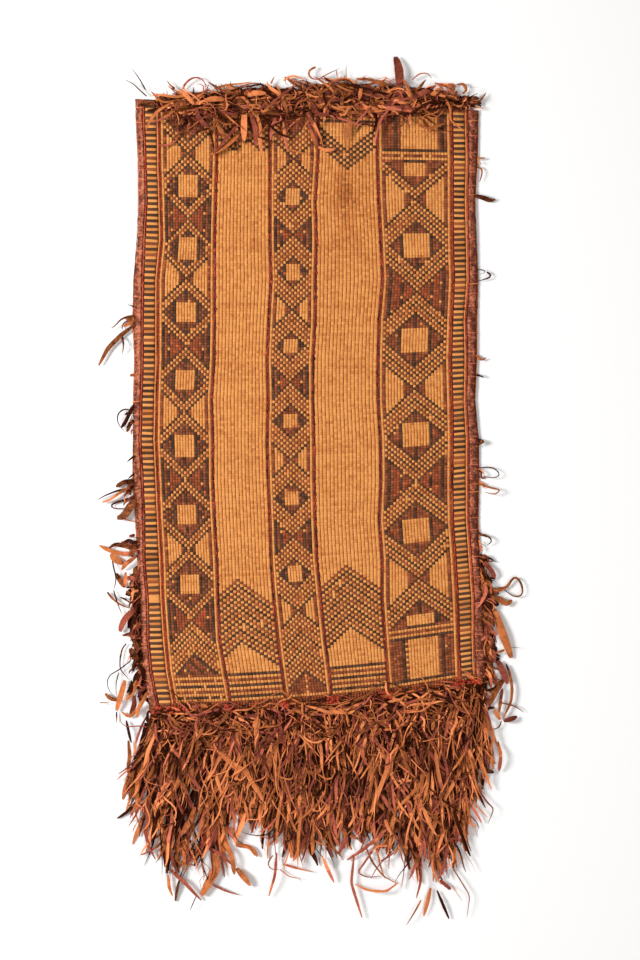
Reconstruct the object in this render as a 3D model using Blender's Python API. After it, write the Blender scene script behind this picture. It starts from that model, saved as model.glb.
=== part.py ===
"""A Tuareg floor mat of reeds and leather, laid flat: the woven panel, eight red leather strips
along it, folded side bindings, laced side thongs, and a cut leather fringe at each end.
Metres, +Z up, the underside on Z = 0, the foot end towards -Y, the origin under the middle."""

import math
import random

import bmesh
import bpy

MM = 0.001

# The mat's lines, in millimetres, at heights from the foot end to the head end. The strips part
# the borders from the patterned bands and the plain fields.
COLUMNS = (
    "y", "left", "strip_1", "strip_2", "strip_3", "strip_4",
    "strip_5", "strip_6", "strip_7", "strip_8", "right",
)
LINES = (
    (-546, -271, -257, -228, -128, -33, 49, 147, 273, 299, 318),
    (-480, -284, -270, -240, -140, -42, 42, 142, 270, 296, 315),
    (-427, -287, -275, -245, -149, -49, 35, 138, 268, 294, 313),
    (-357, -290, -276, -250, -152, -56, 28, 133, 266, 294, 310),
    (-287, -292, -282, -252, -154, -61, 21, 133, 262, 289, 304),
    (-217, -296, -282, -256, -158, -63, 18, 128, 257, 284, 301),
    (-147, -301, -285, -259, -161, -66, 16, 131, 256, 284, 303),
    (-77, -301, -289, -262, -161, -68, 16, 130, 257, 284, 303),
    (-7, -301, -287, -261, -163, -66, 14, 126, 256, 280, 296),
    (63, -298, -285, -259, -159, -68, 14, 126, 254, 282, 299),
    (133, -301, -285, -259, -158, -65, 18, 128, 256, 280, 299),
    (203, -299, -284, -259, -158, -61, 16, 131, 256, 282, 301),
    (273, -294, -282, -252, -158, -63, 18, 128, 254, 280, 298),
    (343, -292, -278, -254, -156, -63, 16, 124, 254, 278, 294),
    (413, -292, -280, -256, -154, -63, 21, 122, 254, 280, 298),
    (522, -298, -284, -257, -154, -63, 21, 122, 252, 278, 303),
)
SECTIONS = 15

# The two ends of the panel, in millimetres. The foot end is bowed, and the head end is straight.
END_COLUMNS = ("x", "y")
FOOT_EDGE = (
    (-283, -538),
    (-135, -534),
    (-38, -528),
    (35, -522),
    (138, -512),
    (198, -504),
    (257, -493),
    (317, -483),
)
HEAD_EDGE = ((-298, 519), (303, 499))

# Reeds laid side by side across the panel, each a rib.
REEDS = 214

# Thicknesses and clearances, in millimetres.
PANEL, REED_VALLEY = 4.4, 3.6
TONGUE_LOW, TONGUE_HIGH = 1.6, 3.4
LEATHER = 1.3
BINDING = 5.0
BINDING_ROUND = 0.6
GAP, FOOT_GAP = 0.3, 0.5
STRIP_WIDTH, STRIP_CREST, STRIP_THICK = 3.2, 1.8, 1.0
KNOT_LENGTH, KNOT_WIDTH, KNOT_HIGH = 6.5, 7.0, 3.2

# Ribbons cut from leather, in millimetres. Ribbons of one layer keep their order, so that they
# never cross, and layers lie over each other.
RIBBON = 1.1
LAYER_STEP = 1.6
LAYERS = 3
ROOT_WIDTH = 3.0
BULGE_AT = 0.45

# The bands that carry the ribbons, in millimetres.
FOOT_BAND_DEPTH, FOOT_RIDGE_DEPTH, FOOT_RIDGE_HIGH = 12.0, 3.0, 5.2
HEAD_BAND_DEPTH, HEAD_BAND_HIGH, HEAD_LAYER_LOW = 7.0, 9.2, 6.1
THONG_DEPTH, THONG_HIGH = 1.5, 4.7

# Foot fringe: where the longest ribbons end, in millimetres, by their place along the band.
FOOT_COUNT = 120
FOOT_WIDTH, FOOT_TIP = 9.5, 3.0
FOOT_SHORTEST = 0.62
FOOT_LEAN = (-16.0, 14.0, 0.0)
FOOT_WAVE, FOOT_PHASE, FOOT_LIFT = 7.0, 0.25, 14.0
FOOT_SEGMENTS = 5
FOOT_LINES = ("left", "strip_1", "strip_4", "strip_6", "strip_8", "right")
FOOT_TIPS_COLUMNS = ("place", "tip_x", "tip_y")
FOOT_TIPS = (
    (0.00, -305, -700),
    (0.05, -290, -777),
    (0.10, -257, -847),
    (0.16, -210, -896),
    (0.22, -182, -880),
    (0.30, -130, -795),
    (0.38, -76, -795),
    (0.46, -24, -826),
    (0.54, 30, -850),
    (0.62, 92, -894),
    (0.70, 140, -868),
    (0.78, 184, -922),
    (0.86, 244, -908),
    (0.93, 288, -880),
    (0.97, 316, -777),
    (1.00, 336, -660),
)

# Head fringe: how far its ribbons fall over the mat, in millimetres, by place along the band.
HEAD_OVER_COUNT = 48
HEAD_OVER_SHIFT = (-24.0, 27.0)
HEAD_OVER_COLUMNS = ("place", "fall")
HEAD_OVER = (
    (0.00, 30),
    (0.18, 52),
    (0.24, 100),
    (0.34, 84),
    (0.40, 46),
    (0.48, 104),
    (0.56, 62),
    (0.64, 72),
    (0.74, 34),
    (0.84, 54),
    (0.92, 40),
    (1.00, 26),
)
HEAD_WIDTH, HEAD_TIP, HEAD_LIFT = 5.0, 2.0, 9.0

# Head ribbons that curl away from the mat: place along the band, sideways and outward reach,
# widest width, and how far each arches off the floor, all but the place in millimetres.
HEAD_OUT_COLUMNS = ("place", "sideways", "outward", "wide", "lift")
HEAD_OUT = (
    (0.008, -16, 45, 2.5, 3),
    (0.030, -20, 26, 2.5, 2),
    (0.085, 34, 20, 4.0, 6),
    (0.160, -26, 18, 5.0, 3),
    (0.225, -38, 27, 4.0, 9),
    (0.300, 34, 20, 4.0, 4),
    (0.380, -32, 21, 4.5, 3),
    (0.430, 30, 16, 4.0, 6),
    (0.500, 22, 55, 3.5, 8),
    (0.560, 26, 22, 4.0, 3),
    (0.615, 4, 64, 3.0, 5),
    (0.680, -34, 18, 5.0, 4),
    (0.745, -6, 82, 8.5, 6),
    (0.800, 32, 21, 4.5, 3),
    (0.860, -34, 26, 4.5, 9),
    (0.915, 28, 22, 4.0, 4),
    (0.965, 24, 26, 3.0, 3),
)

# Tufts of side thongs: the height of the first and last root, how many, how far the first and
# the last reach from the edge, and how far they drop towards the foot, in millimetres.
TUFT_COLUMNS = ("top", "bottom", "count", "reach_top", "reach_bottom", "drop")
TUFTS = {
    "left": (
        (162, 138, 4, 58, 24, 78),
        (32, 12, 2, 12, 9, 10),
        (-20, -50, 3, 52, 34, 14),
        (-106, -106, 1, 9, 9, 10),
        (-138, -190, 5, 62, 38, 34),
        (-250, -280, 4, 66, 48, 26),
        (-296, -508, 14, 50, 30, 82),
    ),
    "right": (
        (412, 412, 1, 14, 14, 8),
        (392, 372, 2, 16, 34, 28),
        (226, 226, 1, 28, 28, 20),
        (66, 66, 1, 16, 16, 12),
        (34, 34, 1, 12, 12, 10),
        (-78, -78, 1, 13, 13, 11),
        (-118, -150, 3, 40, 30, 26),
        (-240, -240, 1, 27, 27, 20),
        (-278, -470, 16, 68, 42, 66),
    ),
}
TUFT_WIDTH, TUFT_TIP, TUFT_LIFT, TUFT_SEGMENTS = 4.6, 1.8, 9.0, 4


def clear_scene():
    for obj in list(bpy.data.objects):
        bpy.data.objects.remove(obj, do_unlink=True)


def leather(name, colour, roughness):
    """A Principled material of one linear colour."""
    material = bpy.data.materials.new(name)
    material.use_nodes = True
    shader = material.node_tree.nodes["Principled BSDF"]
    shader.inputs["Base Color"].default_value = (*colour, 1.0)
    shader.inputs["Roughness"].default_value = roughness
    shader.inputs["Metallic"].default_value = 0.0
    material.diffuse_color = (*colour, 1.0)
    return material


def lerp(a, b, t):
    return a + (b - a) * t


def read_table(rows, names, key, wanted, at):
    """The wanted column of a table, read in a straight line between the rows round key = at."""
    k, w = names.index(key), names.index(wanted)
    if at <= rows[0][k]:
        return rows[0][w]
    for low, high in zip(rows, rows[1:]):
        if at <= high[k]:
            return lerp(low[w], high[w], (at - low[k]) / (high[k] - low[k]))
    return rows[-1][w]


def line_x(column, y):
    return read_table(LINES, COLUMNS, "y", column, y)


def mat_point(column, v):
    """A line's point at share v of the mat's length, where v runs from foot 0 to head 1."""
    x = line_x(column, 0)
    for _ in range(4):
        foot = read_table(FOOT_EDGE, END_COLUMNS, "x", "y", x)
        head = read_table(HEAD_EDGE, END_COLUMNS, "x", "y", x)
        y = lerp(foot, head, v)
        x = line_x(column, y)
    return x, y


def section_rows():
    """The half reed at which each of the mat's sections starts, and the last one's end."""
    return [round(k * 2 * REEDS / SECTIONS) for k in range(SECTIONS + 1)]


def rail(column):
    """The line's points at each of the mat's sections, from foot to head."""
    return [mat_point(column, row / (2 * REEDS)) for row in section_rows()]


def add_object(name, points, faces, material):
    """A mesh object from points in millimetres, with its faces turned outwards."""
    mesh = bpy.data.meshes.new(name)
    mesh.from_pydata([(x * MM, y * MM, z * MM) for x, y, z in points], [], faces)
    shape = bmesh.new()
    shape.from_mesh(mesh)
    bmesh.ops.recalc_face_normals(shape, faces=shape.faces)
    shape.to_mesh(mesh)
    shape.free()
    mesh.materials.append(material)
    obj = bpy.data.objects.new(name, mesh)
    bpy.context.scene.collection.objects.link(obj)
    return obj


def swept(sections):
    """Points and faces of rings of equal length joined one to the next, with both ends closed."""
    size = len(sections[0])
    points = [point for ring in sections for point in ring]
    faces = [tuple(reversed(range(size)))]
    for k in range(len(sections) - 1):
        here, there = k * size, (k + 1) * size
        for i in range(size):
            j = (i + 1) % size
            faces.append((here + i, here + j, there + j, there + i))
    faces.append(tuple(range(len(points) - size, len(points))))
    return points, faces


def sections_from(outline):
    """Rings along the mat. Each outline row is a line's name, an offset from it and a height."""
    rails = {column: rail(column) for column, _, _ in outline}
    rings = []
    for k in range(SECTIONS + 1):
        ring = []
        for column, offset, z in outline:
            x, y = rails[column][k]
            ring.append((x + offset, y, z))
        rings.append(ring)
    return rings


def make_panel(material):
    """The woven panel, ribbed by its reeds. Its long edges are thinned to a tongue that the
    bindings fold over."""
    inset, seat = LEATHER + GAP, STRIP_WIDTH / 2
    under = (
        ("strip_1", -seat, TONGUE_HIGH),
        ("left", inset, TONGUE_HIGH),
        ("left", inset, TONGUE_LOW),
        ("strip_1", -seat, TONGUE_LOW),
        ("strip_1", -seat, 0.0),
        ("strip_4", 0.0, 0.0),
        ("strip_6", 0.0, 0.0),
        ("strip_8", seat, 0.0),
        ("strip_8", seat, TONGUE_LOW),
        ("right", -inset, TONGUE_LOW),
        ("right", -inset, TONGUE_HIGH),
        ("strip_8", seat, TONGUE_HIGH),
    )
    over = (("strip_1", -seat), ("strip_4", 0.0), ("strip_6", 0.0), ("strip_8", seat))
    rails = {column: rail(column) for column in COLUMNS[1:]}
    rows = section_rows()
    points, faces, lower, upper = [], [], [], []
    for k in range(SECTIONS + 1):
        lower.append(range(len(points), len(points) + len(under)))
        for column, offset, z in under:
            x, y = rails[column][k]
            points.append((x + offset, y, z))
    for row in range(2 * REEDS + 1):
        k = max(k for k in range(SECTIONS) if rows[k] <= row)
        t = (row - rows[k]) / (rows[k + 1] - rows[k])
        upper.append(range(len(points), len(points) + len(over)))
        for column, offset in over:
            (x0, y0), (x1, y1) = rails[column][k:k + 2]
            z = PANEL if row % 2 else REED_VALLEY
            points.append((lerp(x0, x1, t) + offset, lerp(y0, y1, t), z))
    for k in range(SECTIONS):
        here, there = lower[k], lower[k + 1]
        for i in range(len(under) - 1):
            faces.append((here[i], here[i + 1], there[i + 1], there[i]))
        for i in (0, -1):
            wall = [ring[i] for ring in upper[rows[k]:rows[k + 1] + 1]]
            faces.append([here[i]] + wall + [there[i]])
    for here, there in zip(upper, upper[1:]):
        for i in range(len(over) - 1):
            faces.append((here[i], here[i + 1], there[i + 1], there[i]))
    for low, top in ((lower[0], upper[0]), (lower[-1], upper[-1])):
        faces.append((low[0], low[1], low[2], low[3]))
        faces.append((low[3], low[4], low[5], top[1], top[0], low[0]))
        faces.append((low[5], low[6], top[2], top[1]))
        faces.append((low[6], low[7], low[8], low[11], top[3], top[2]))
        faces.append((low[8], low[9], low[10], low[11]))
    add_object("mat_panel", points, faces, material)


def make_binding(side, material):
    """Leather folded over a long edge, a C in section, from the edge in to the first strip."""
    strip, inward = ("strip_1", 1) if side == "left" else ("strip_8", -1)
    flap = -inward * (STRIP_WIDTH / 2 + GAP)
    outline = (
        (side, 0.0, BINDING_ROUND),
        (side, inward * BINDING_ROUND, 0.0),
        (strip, flap, 0.0),
        (strip, flap, LEATHER),
        (side, inward * LEATHER, LEATHER),
        (side, inward * LEATHER, BINDING - LEATHER),
        (strip, flap, BINDING - LEATHER),
        (strip, flap, BINDING),
        (side, inward * BINDING_ROUND, BINDING),
        (side, 0.0, BINDING - BINDING_ROUND),
    )
    add_object(f"binding_{side}", *swept(sections_from(outline)), material)


def make_strip(number, material):
    """A red strip laid along the panel, knotted on the foot band."""
    low = PANEL + GAP
    half, crest = STRIP_WIDTH / 2, STRIP_CREST / 2
    column = f"strip_{number}"
    rings = sections_from(
        (
            (column, -half, low),
            (column, half, low),
            (column, crest, low + STRIP_THICK),
            (column, -crest, low + STRIP_THICK),
        )
    )
    x, y = rail(column)[0]
    # Share of the knot's length, and the width and height there as shares of its own.
    for along, wide, high in ((0.25, 0.8, 0.7), (0.6, 1.0, 1.0), (1.0, 0.5, 0.4)):
        half = KNOT_WIDTH * wide / 2
        top = low + KNOT_HIGH * high
        end = y - KNOT_LENGTH * along
        ring = [(x - half, end, low), (x + half, end, low)]
        ring += [(x + half * 0.6, end, top), (x - half * 0.6, end, top)]
        rings.insert(0, ring)
    add_object(f"red_{column}", *swept(rings), material)


def spine_point(spine, s):
    """The point at distance s along a line of points."""
    for (ax, ay), (bx, by) in zip(spine, spine[1:]):
        run = math.hypot(bx - ax, by - ay)
        if s <= run:
            return lerp(ax, bx, s / run), lerp(ay, by, s / run)
        s -= run
    return spine[-1]


def spine_marks(spine):
    """The distance along the line to each of its points."""
    marks = [0.0]
    for (ax, ay), (bx, by) in zip(spine, spine[1:]):
        marks.append(marks[-1] + math.hypot(bx - ax, by - ay))
    return marks


def ribbon_rings(root, out, side, strand):
    """Rings of four points along a ribbon, past the one at its root."""
    path = [(root[0] + out[0] * o + side[0] * a, root[1] + out[1] * o + side[1] * a)
            for o, a in strand["path"]]
    turn = 1 if out[0] * side[1] - out[1] * side[0] > 0 else -1
    last = len(path) - 1
    rings = []
    for j in range(1, last + 1):
        ahead = path[min(j + 1, last)]
        dx, dy = ahead[0] - path[j - 1][0], ahead[1] - path[j - 1][1]
        run = math.hypot(dx, dy)
        nx, ny = -dy / run * turn, dx / run * turn
        t = j / last
        if t < BULGE_AT:
            half = lerp(ROOT_WIDTH, strand["wide"], t / BULGE_AT) / 2
        else:
            half = lerp(strand["wide"], strand["tip"], (t - BULGE_AT) / (1 - BULGE_AT)) / 2
        x, y = path[j]
        low = strand["level"] + strand["lift"] * math.sin(math.pi * t) ** 2
        high = low + RIBBON
        rings.append([
            (x - nx * half, y - ny * half, low), (x + nx * half, y + ny * half, low),
            (x + nx * half, y + ny * half, high), (x - nx * half, y - ny * half, high),
        ])
    return rings


def add_fringed_band(name, spine, out, profile, strands, material):
    """A band along a spine, with ribbons that grow out of its upright front or back face.
    out is the front's direction. profile gives the band's rows of depth behind the front and
    height, from the front's top over to the back's foot. A strand's root is its distance along."""
    side = (abs(out[1]), abs(out[0]))
    depth = profile[-1][0]
    slots = {}
    stations = set(spine_marks(spine))
    for strand in strands:
        low, high = strand["root"] - ROOT_WIDTH / 2, strand["root"] + ROOT_WIDTH / 2
        stations = {s for s in stations if not low - 1.0 < s < high + 1.0}
        stations |= {low, high}
        slots[(strand["face"], low)] = strand
    stations = sorted(stations)
    levels = {"front": [], "back": []}
    for k, s in enumerate(stations):
        before = stations[k - 1] if k else None
        for face, top in (("front", profile[0][1]), ("back", profile[-2][1])):
            found = {0.0, top}
            for start in (s, before):
                strand = slots.get((face, start))
                if strand:
                    found |= {strand["level"], strand["level"] + RIBBON}
            levels[face].append(sorted(found))

    points, faces, index = [], [], {}

    def vertex(k, back, z):
        key = (k, round(back, 4), round(z, 4))
        if key not in index:
            x, y = spine_point(spine, stations[k])
            index[key] = len(points)
            points.append((x - out[0] * back, y - out[1] * back, z))
        return index[key]

    for k in range(len(stations) - 1):
        for (d0, z0), (d1, z1) in zip(profile, profile[1:-1]):
            faces.append((vertex(k, d0, z0), vertex(k, d1, z1),
                          vertex(k + 1, d1, z1), vertex(k + 1, d0, z0)))
        faces.append((vertex(k, 0, 0), vertex(k, depth, 0),
                      vertex(k + 1, depth, 0), vertex(k + 1, 0, 0)))
        for face, back in (("front", 0), ("back", depth)):
            strand = slots.get((face, stations[k]))
            here, there = levels[face][k], levels[face][k + 1]
            if strand is None:
                spans = ((here[0], here[-1]),)
            else:
                spans = ((here[0], strand["level"]), (strand["level"] + RIBBON, here[-1]))
            for low, high in spans:
                if high - low < GAP / 2:
                    continue
                ring = [vertex(k, back, z) for z in here if low <= z <= high]
                ring += [vertex(k + 1, back, z) for z in reversed(there) if low <= z <= high]
                faces.append(tuple(ring))
            if strand is None:
                continue
            level = strand["level"]
            ring = [vertex(k, back, level), vertex(k + 1, back, level),
                    vertex(k + 1, back, level + RIBBON), vertex(k, back, level + RIBBON)]
            root = spine_point(spine, strand["root"])
            root = (root[0] - out[0] * back, root[1] - out[1] * back)
            forward = out if face == "front" else (-out[0], -out[1])
            for section in ribbon_rings(root, forward, side, strand):
                after = list(range(len(points), len(points) + 4))
                points.extend(section)
                for i in range(4):
                    j = (i + 1) % 4
                    faces.append((ring[i], ring[j], after[j], after[i]))
                ring = after
            faces.append(tuple(ring))

    for k in (0, len(stations) - 1):
        end = [vertex(k, 0, z) for z in levels["front"][k]]
        end += [vertex(k, d, z) for d, z in profile[1:-2]]
        end += [vertex(k, depth, z) for z in reversed(levels["back"][k])]
        faces.append(tuple(end))
    add_object(name, points, faces, material)


def make_foot_fringe(material):
    """The brown band under the last row, and the long fringe cut at its outer edge."""
    rng = random.Random(11)
    front = FOOT_BAND_DEPTH + FOOT_GAP
    ends = [mat_point(column, 0) for column in FOOT_LINES]
    spine = [(x, y - front) for x, y in ends]
    length = spine_marks(spine)[-1]
    pitch = length / FOOT_COUNT
    strands = []
    for i in range(FOOT_COUNT):
        layer = i % LAYERS
        place = (i + 0.5) / FOOT_COUNT
        x, y = spine_point(spine, place * length)
        tip_x = read_table(FOOT_TIPS, FOOT_TIPS_COLUMNS, "place", "tip_x", place)
        tip_y = read_table(FOOT_TIPS, FOOT_TIPS_COLUMNS, "place", "tip_y", place)
        sideways, outward = tip_x + FOOT_LEAN[layer] - x, y - tip_y
        share = lerp(FOOT_SHORTEST, 1.0, rng.random())
        phase = FOOT_PHASE * i / LAYERS + 2.0 * layer
        path = []
        for j in range(FOOT_SEGMENTS + 1):
            t = share * j / FOOT_SEGMENTS
            wave = FOOT_WAVE * (math.sin(2 * math.pi * t + phase) - math.sin(phase)) * min(1, 2 * t)
            path.append((outward * t, sideways * t ** 1.3 + wave))
        top = layer == LAYERS - 1
        strands.append({
            "face": "front", "root": (i + 0.5) * pitch, "level": layer * LAYER_STEP,
            "lift": FOOT_LIFT * rng.random() if top else 0.0, "path": path,
            "wide": FOOT_WIDTH * lerp(0.7, 1.0, rng.random()), "tip": FOOT_TIP,
        })
    profile = (
        (0, FOOT_RIDGE_HIGH), (FOOT_RIDGE_DEPTH, FOOT_RIDGE_HIGH), (FOOT_RIDGE_DEPTH, PANEL),
        (FOOT_BAND_DEPTH, PANEL), (FOOT_BAND_DEPTH, 0),
    )
    add_fringed_band("foot_fringe", spine, (0, -1), profile, strands, material)


def bend(sideways, outward, segments):
    """A path that leaves its root square and turns sideways, as rows of outward and sideways."""
    path = []
    for j in range(segments + 1):
        t = j / segments
        path.append((outward * math.sin(t * math.pi / 2), sideways * t ** 1.6))
    return path


def make_head_fringe(material):
    """The head band, with ribbons over the mat in two layers and a few that curl away from it."""
    rng = random.Random(5)
    (x0, y0), (x1, y1) = mat_point("left", 1), mat_point("right", 1)
    spine = [(x0, y0 + GAP), (x1, y1 + GAP)]
    length = spine_marks(spine)[-1]
    strands = []
    for i in range(HEAD_OVER_COUNT):
        layer = i % 2
        place = (i + 0.5) / HEAD_OVER_COUNT
        fall = read_table(HEAD_OVER, HEAD_OVER_COLUMNS, "place", "fall", place)
        strands.append({
            "face": "front", "root": place * length,
            "level": HEAD_LAYER_LOW + layer * LAYER_STEP,
            "lift": HEAD_LIFT * rng.random() if layer else 0.0,
            "path": bend(HEAD_OVER_SHIFT[layer], fall * lerp(0.8, 1.0, rng.random()), 4),
            "wide": HEAD_WIDTH * lerp(0.75, 1.0, rng.random()), "tip": HEAD_TIP,
        })
    for number, row in enumerate(HEAD_OUT):
        ribbon = dict(zip(HEAD_OUT_COLUMNS, row))
        layer = number % 2
        strands.append({
            "face": "back", "root": ribbon["place"] * length, "level": layer * LAYER_STEP,
            "lift": ribbon["lift"] if layer else 0.0,
            "path": bend(ribbon["sideways"], ribbon["outward"], 4),
            "wide": ribbon["wide"], "tip": HEAD_TIP,
        })
    profile = ((0, HEAD_BAND_HIGH), (HEAD_BAND_DEPTH, HEAD_BAND_HIGH), (HEAD_BAND_DEPTH, 0))
    add_fringed_band("head_fringe", spine, (0, -1), profile, strands, material)


def make_side_thong(side, material):
    """The lacing thong along a binding, with the knotted ends that hang from it in tufts."""
    rng = random.Random(3 if side == "left" else 4)
    outward = -1 if side == "left" else 1
    edge = rail(side)
    front = THONG_DEPTH + GAP
    spine = [(x + outward * front, y) for x, y in edge]
    foot = edge[0][1]
    strands = []
    for row in TUFTS[side]:
        tuft = dict(zip(TUFT_COLUMNS, row))
        for n in range(tuft["count"]):
            share = n / max(1, tuft["count"] - 1)
            layer = len(strands) % LAYERS
            reach = lerp(tuft["reach_top"], tuft["reach_bottom"], share)
            drop = tuft["drop"] * lerp(0.75, 1.0, rng.random())
            path = []
            for j in range(TUFT_SEGMENTS + 1):
                t = j / TUFT_SEGMENTS
                path.append((reach * math.sin(t * math.pi / 2), -drop * t ** 1.5))
            strands.append({
                "face": "front", "root": lerp(tuft["top"], tuft["bottom"], share) - foot,
                "level": layer * LAYER_STEP,
                "lift": TUFT_LIFT * rng.random() if layer == LAYERS - 1 else 0.0,
                "path": path, "wide": TUFT_WIDTH * lerp(0.7, 1.0, rng.random()),
                "tip": TUFT_TIP,
            })
    profile = ((0, THONG_HIGH), (THONG_DEPTH, THONG_HIGH), (THONG_DEPTH, 0))
    add_fringed_band(f"side_thong_{side}", spine, (outward, 0), profile, strands, material)


def main():
    clear_scene()
    make_panel(leather("reed_and_leather_weave", (0.56, 0.28, 0.09), 0.6))
    binding = leather("brown_goatskin", (0.16, 0.05, 0.03), 0.55)
    red = leather("red_goatskin", (0.42, 0.03, 0.02), 0.55)
    thong = leather("tan_goatskin", (0.3, 0.1, 0.04), 0.55)
    for side in ("left", "right"):
        make_binding(side, binding)
        make_side_thong(side, thong)
    for number in range(1, 9):
        make_strip(number, red)
    make_foot_fringe(thong)
    make_head_fringe(thong)


main()
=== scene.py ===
"""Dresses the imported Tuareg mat: the woven cells of reed and leather, the red strips, the worn side
bindings and the curled leather ribbons, on a pale floor under soft light. Metres, in the frame of
the solids, with the foot end towards -Y."""

import math
import random

import bmesh
import bpy
import numpy as np
from bpy.props import FloatProperty, FloatVectorProperty, IntProperty
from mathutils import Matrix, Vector, noise


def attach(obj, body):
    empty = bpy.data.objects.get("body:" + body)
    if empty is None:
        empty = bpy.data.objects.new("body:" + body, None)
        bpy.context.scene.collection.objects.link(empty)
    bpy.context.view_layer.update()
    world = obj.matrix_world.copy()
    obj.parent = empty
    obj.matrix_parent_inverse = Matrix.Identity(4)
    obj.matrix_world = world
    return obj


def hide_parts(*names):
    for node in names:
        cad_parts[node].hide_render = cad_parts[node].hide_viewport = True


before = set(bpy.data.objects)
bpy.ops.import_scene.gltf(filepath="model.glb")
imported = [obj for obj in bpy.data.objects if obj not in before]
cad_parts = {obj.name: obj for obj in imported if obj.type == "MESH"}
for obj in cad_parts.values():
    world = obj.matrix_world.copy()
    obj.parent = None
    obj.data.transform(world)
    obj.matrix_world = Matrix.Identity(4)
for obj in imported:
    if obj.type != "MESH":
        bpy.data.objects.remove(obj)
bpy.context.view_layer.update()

bl_info = {
    "name": "Tuareg mat",
    "version": (1, 0, 0),
    "blender": (4, 5, 0),
    "location": "3D View > Sidebar > Mat",
    "description": "Weaves and dresses a mat of reeds and leather with a cut leather fringe",
    "category": "Add Mesh",
}

MM = 0.001
BODY = "root"

# The mat's lines, in millimetres, at heights from the foot end to the head end.
COLUMNS = (
    "y", "left", "strip_1", "strip_2", "strip_3", "strip_4",
    "strip_5", "strip_6", "strip_7", "strip_8", "right",
)
LINES = (
    (-546, -271, -257, -228, -128, -33, 49, 147, 273, 299, 318),
    (-480, -284, -270, -240, -140, -42, 42, 142, 270, 296, 315),
    (-427, -287, -275, -245, -149, -49, 35, 138, 268, 294, 313),
    (-357, -290, -276, -250, -152, -56, 28, 133, 266, 294, 310),
    (-287, -292, -282, -252, -154, -61, 21, 133, 262, 289, 304),
    (-217, -296, -282, -256, -158, -63, 18, 128, 257, 284, 301),
    (-147, -301, -285, -259, -161, -66, 16, 131, 256, 284, 303),
    (-77, -301, -289, -262, -161, -68, 16, 130, 257, 284, 303),
    (-7, -301, -287, -261, -163, -66, 14, 126, 256, 280, 296),
    (63, -298, -285, -259, -159, -68, 14, 126, 254, 282, 299),
    (133, -301, -285, -259, -158, -65, 18, 128, 256, 280, 299),
    (203, -299, -284, -259, -158, -61, 18, 134, 259, 285, 301),
    (273, -294, -282, -252, -158, -63, 20, 131, 257, 284, 299),
    (343, -292, -278, -254, -156, -63, 18, 127, 257, 282, 296),
    (413, -292, -280, -256, -154, -63, 23, 125, 257, 284, 300),
    (522, -298, -284, -257, -154, -63, 23, 125, 255, 281, 303),
)
FOOT_EDGE = (
    (-283, -538), (-135, -534), (-38, -528), (35, -522),
    (138, -512), (198, -504), (257, -493), (317, -483),
)
HEAD_EDGE = ((-298, 519), (303, 499))

# The weave, counted in rows of reeds from the foot. Halfway along, a row is nearer to the foot by
# ROW_SAG of the mat's length. FLAW_SHARE of the leather cells are worn out. FOOT_STRIPES are the
# rows at the foot of a field, and RINGS the lines round a diamond, from the lattice inwards.
ROWS = 214
REED, BROWN, BLACK, RUSSET = range(4)
LETTERS = {"G": REED, "B": BROWN, "K": BLACK, "R": RUSSET}
ROW_SAG = 0.0037
FLAW_SHARE = 0.012
FOOT_STRIPES = "GKGBGKGBGK"
RINGS = "KGBGKGBGK"

# Height of the ground under the cells, and how far a cell is sunk into it.
GROUND_TOP, SUNK = 3.2 * MM, 0.35 * MM

# Shortest and longest reed and leather cell as shares of the column's width, and shortest and
# longest cell as shares of the row's pitch, alone and where reeds run on from row to row.
REED_LONG, LEATHER_LONG = (0.86, 0.93), (0.98, 1.08)
ALONE_TALL, JOINED_TALL = (0.98, 1.06), (1.14, 1.2)

# Widths of a guard column and of the dark thread beside it, where a column of the band has 1.
GUARD, GUARD_LINE = 0.9, 0.45

# Rows where the lattice lines of a band cross, and whether reeds fill the triangles beside them.
# dark_at gives the black columns of the leather triangles, counted from the centre line.
BAND_LEFT = {
    "columns": 17,
    "dark_at": (6, 8),
    "crossings": (
        (29.5, False), (54.5, True), (79.5, False), (103.5, True),
        (127, False), (151, True), (172, False), (195, True),
    ),
}
BAND_MIDDLE = {
    "columns": 13,
    "dark_at": (4, 6),
    "crossings": (
        (31, True), (58, False), (86, True), (114, False), (140, True), (167, False), (194, True),
    ),
}
BAND_RIGHT = {
    "columns": 21,
    "dark_at": (5, 9),
    "crossings": ((39, True), (75.5, False), (110, True), (146, False), (180, True)),
}

# Finishes of the woven cells, in the order of their kinds, and of the stitches of the red strips.
WOVEN = ("split_reed", "brown_woven_goatskin", "black_woven_goatskin", "russet_woven_goatskin")
STITCHED = ("red_dyed_goatskin", "wine_dyed_goatskin")


def linear(value):
    """A colour channel of sRGB as a linear one."""
    return value / 12.92 if value <= 0.04045 else ((value + 0.055) / 1.055) ** 2.4


def colour(hex_code):
    """A linear RGBA colour from six sRGB hex digits."""
    channels = (int(hex_code[i:i + 2], 16) / 255 for i in (0, 2, 4))
    return (*(linear(c) for c in channels), 1.0)


def lerp(a, b, t):
    """What lies at share t of the way from a to b."""
    return a + (b - a) * t


def length_property(name, description, default):
    """A size in metres."""
    return FloatProperty(name=name, description=description, default=default, unit="LENGTH")


def share_property(name, description, default):
    """A share of another size."""
    return FloatProperty(name=name, description=description, default=default, subtype="FACTOR")


def colour_property(name, description, hex_code):
    """A colour that is given as sRGB."""
    return FloatVectorProperty(
        name=name, description=description, subtype="COLOR", size=4, default=colour(hex_code))


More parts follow.
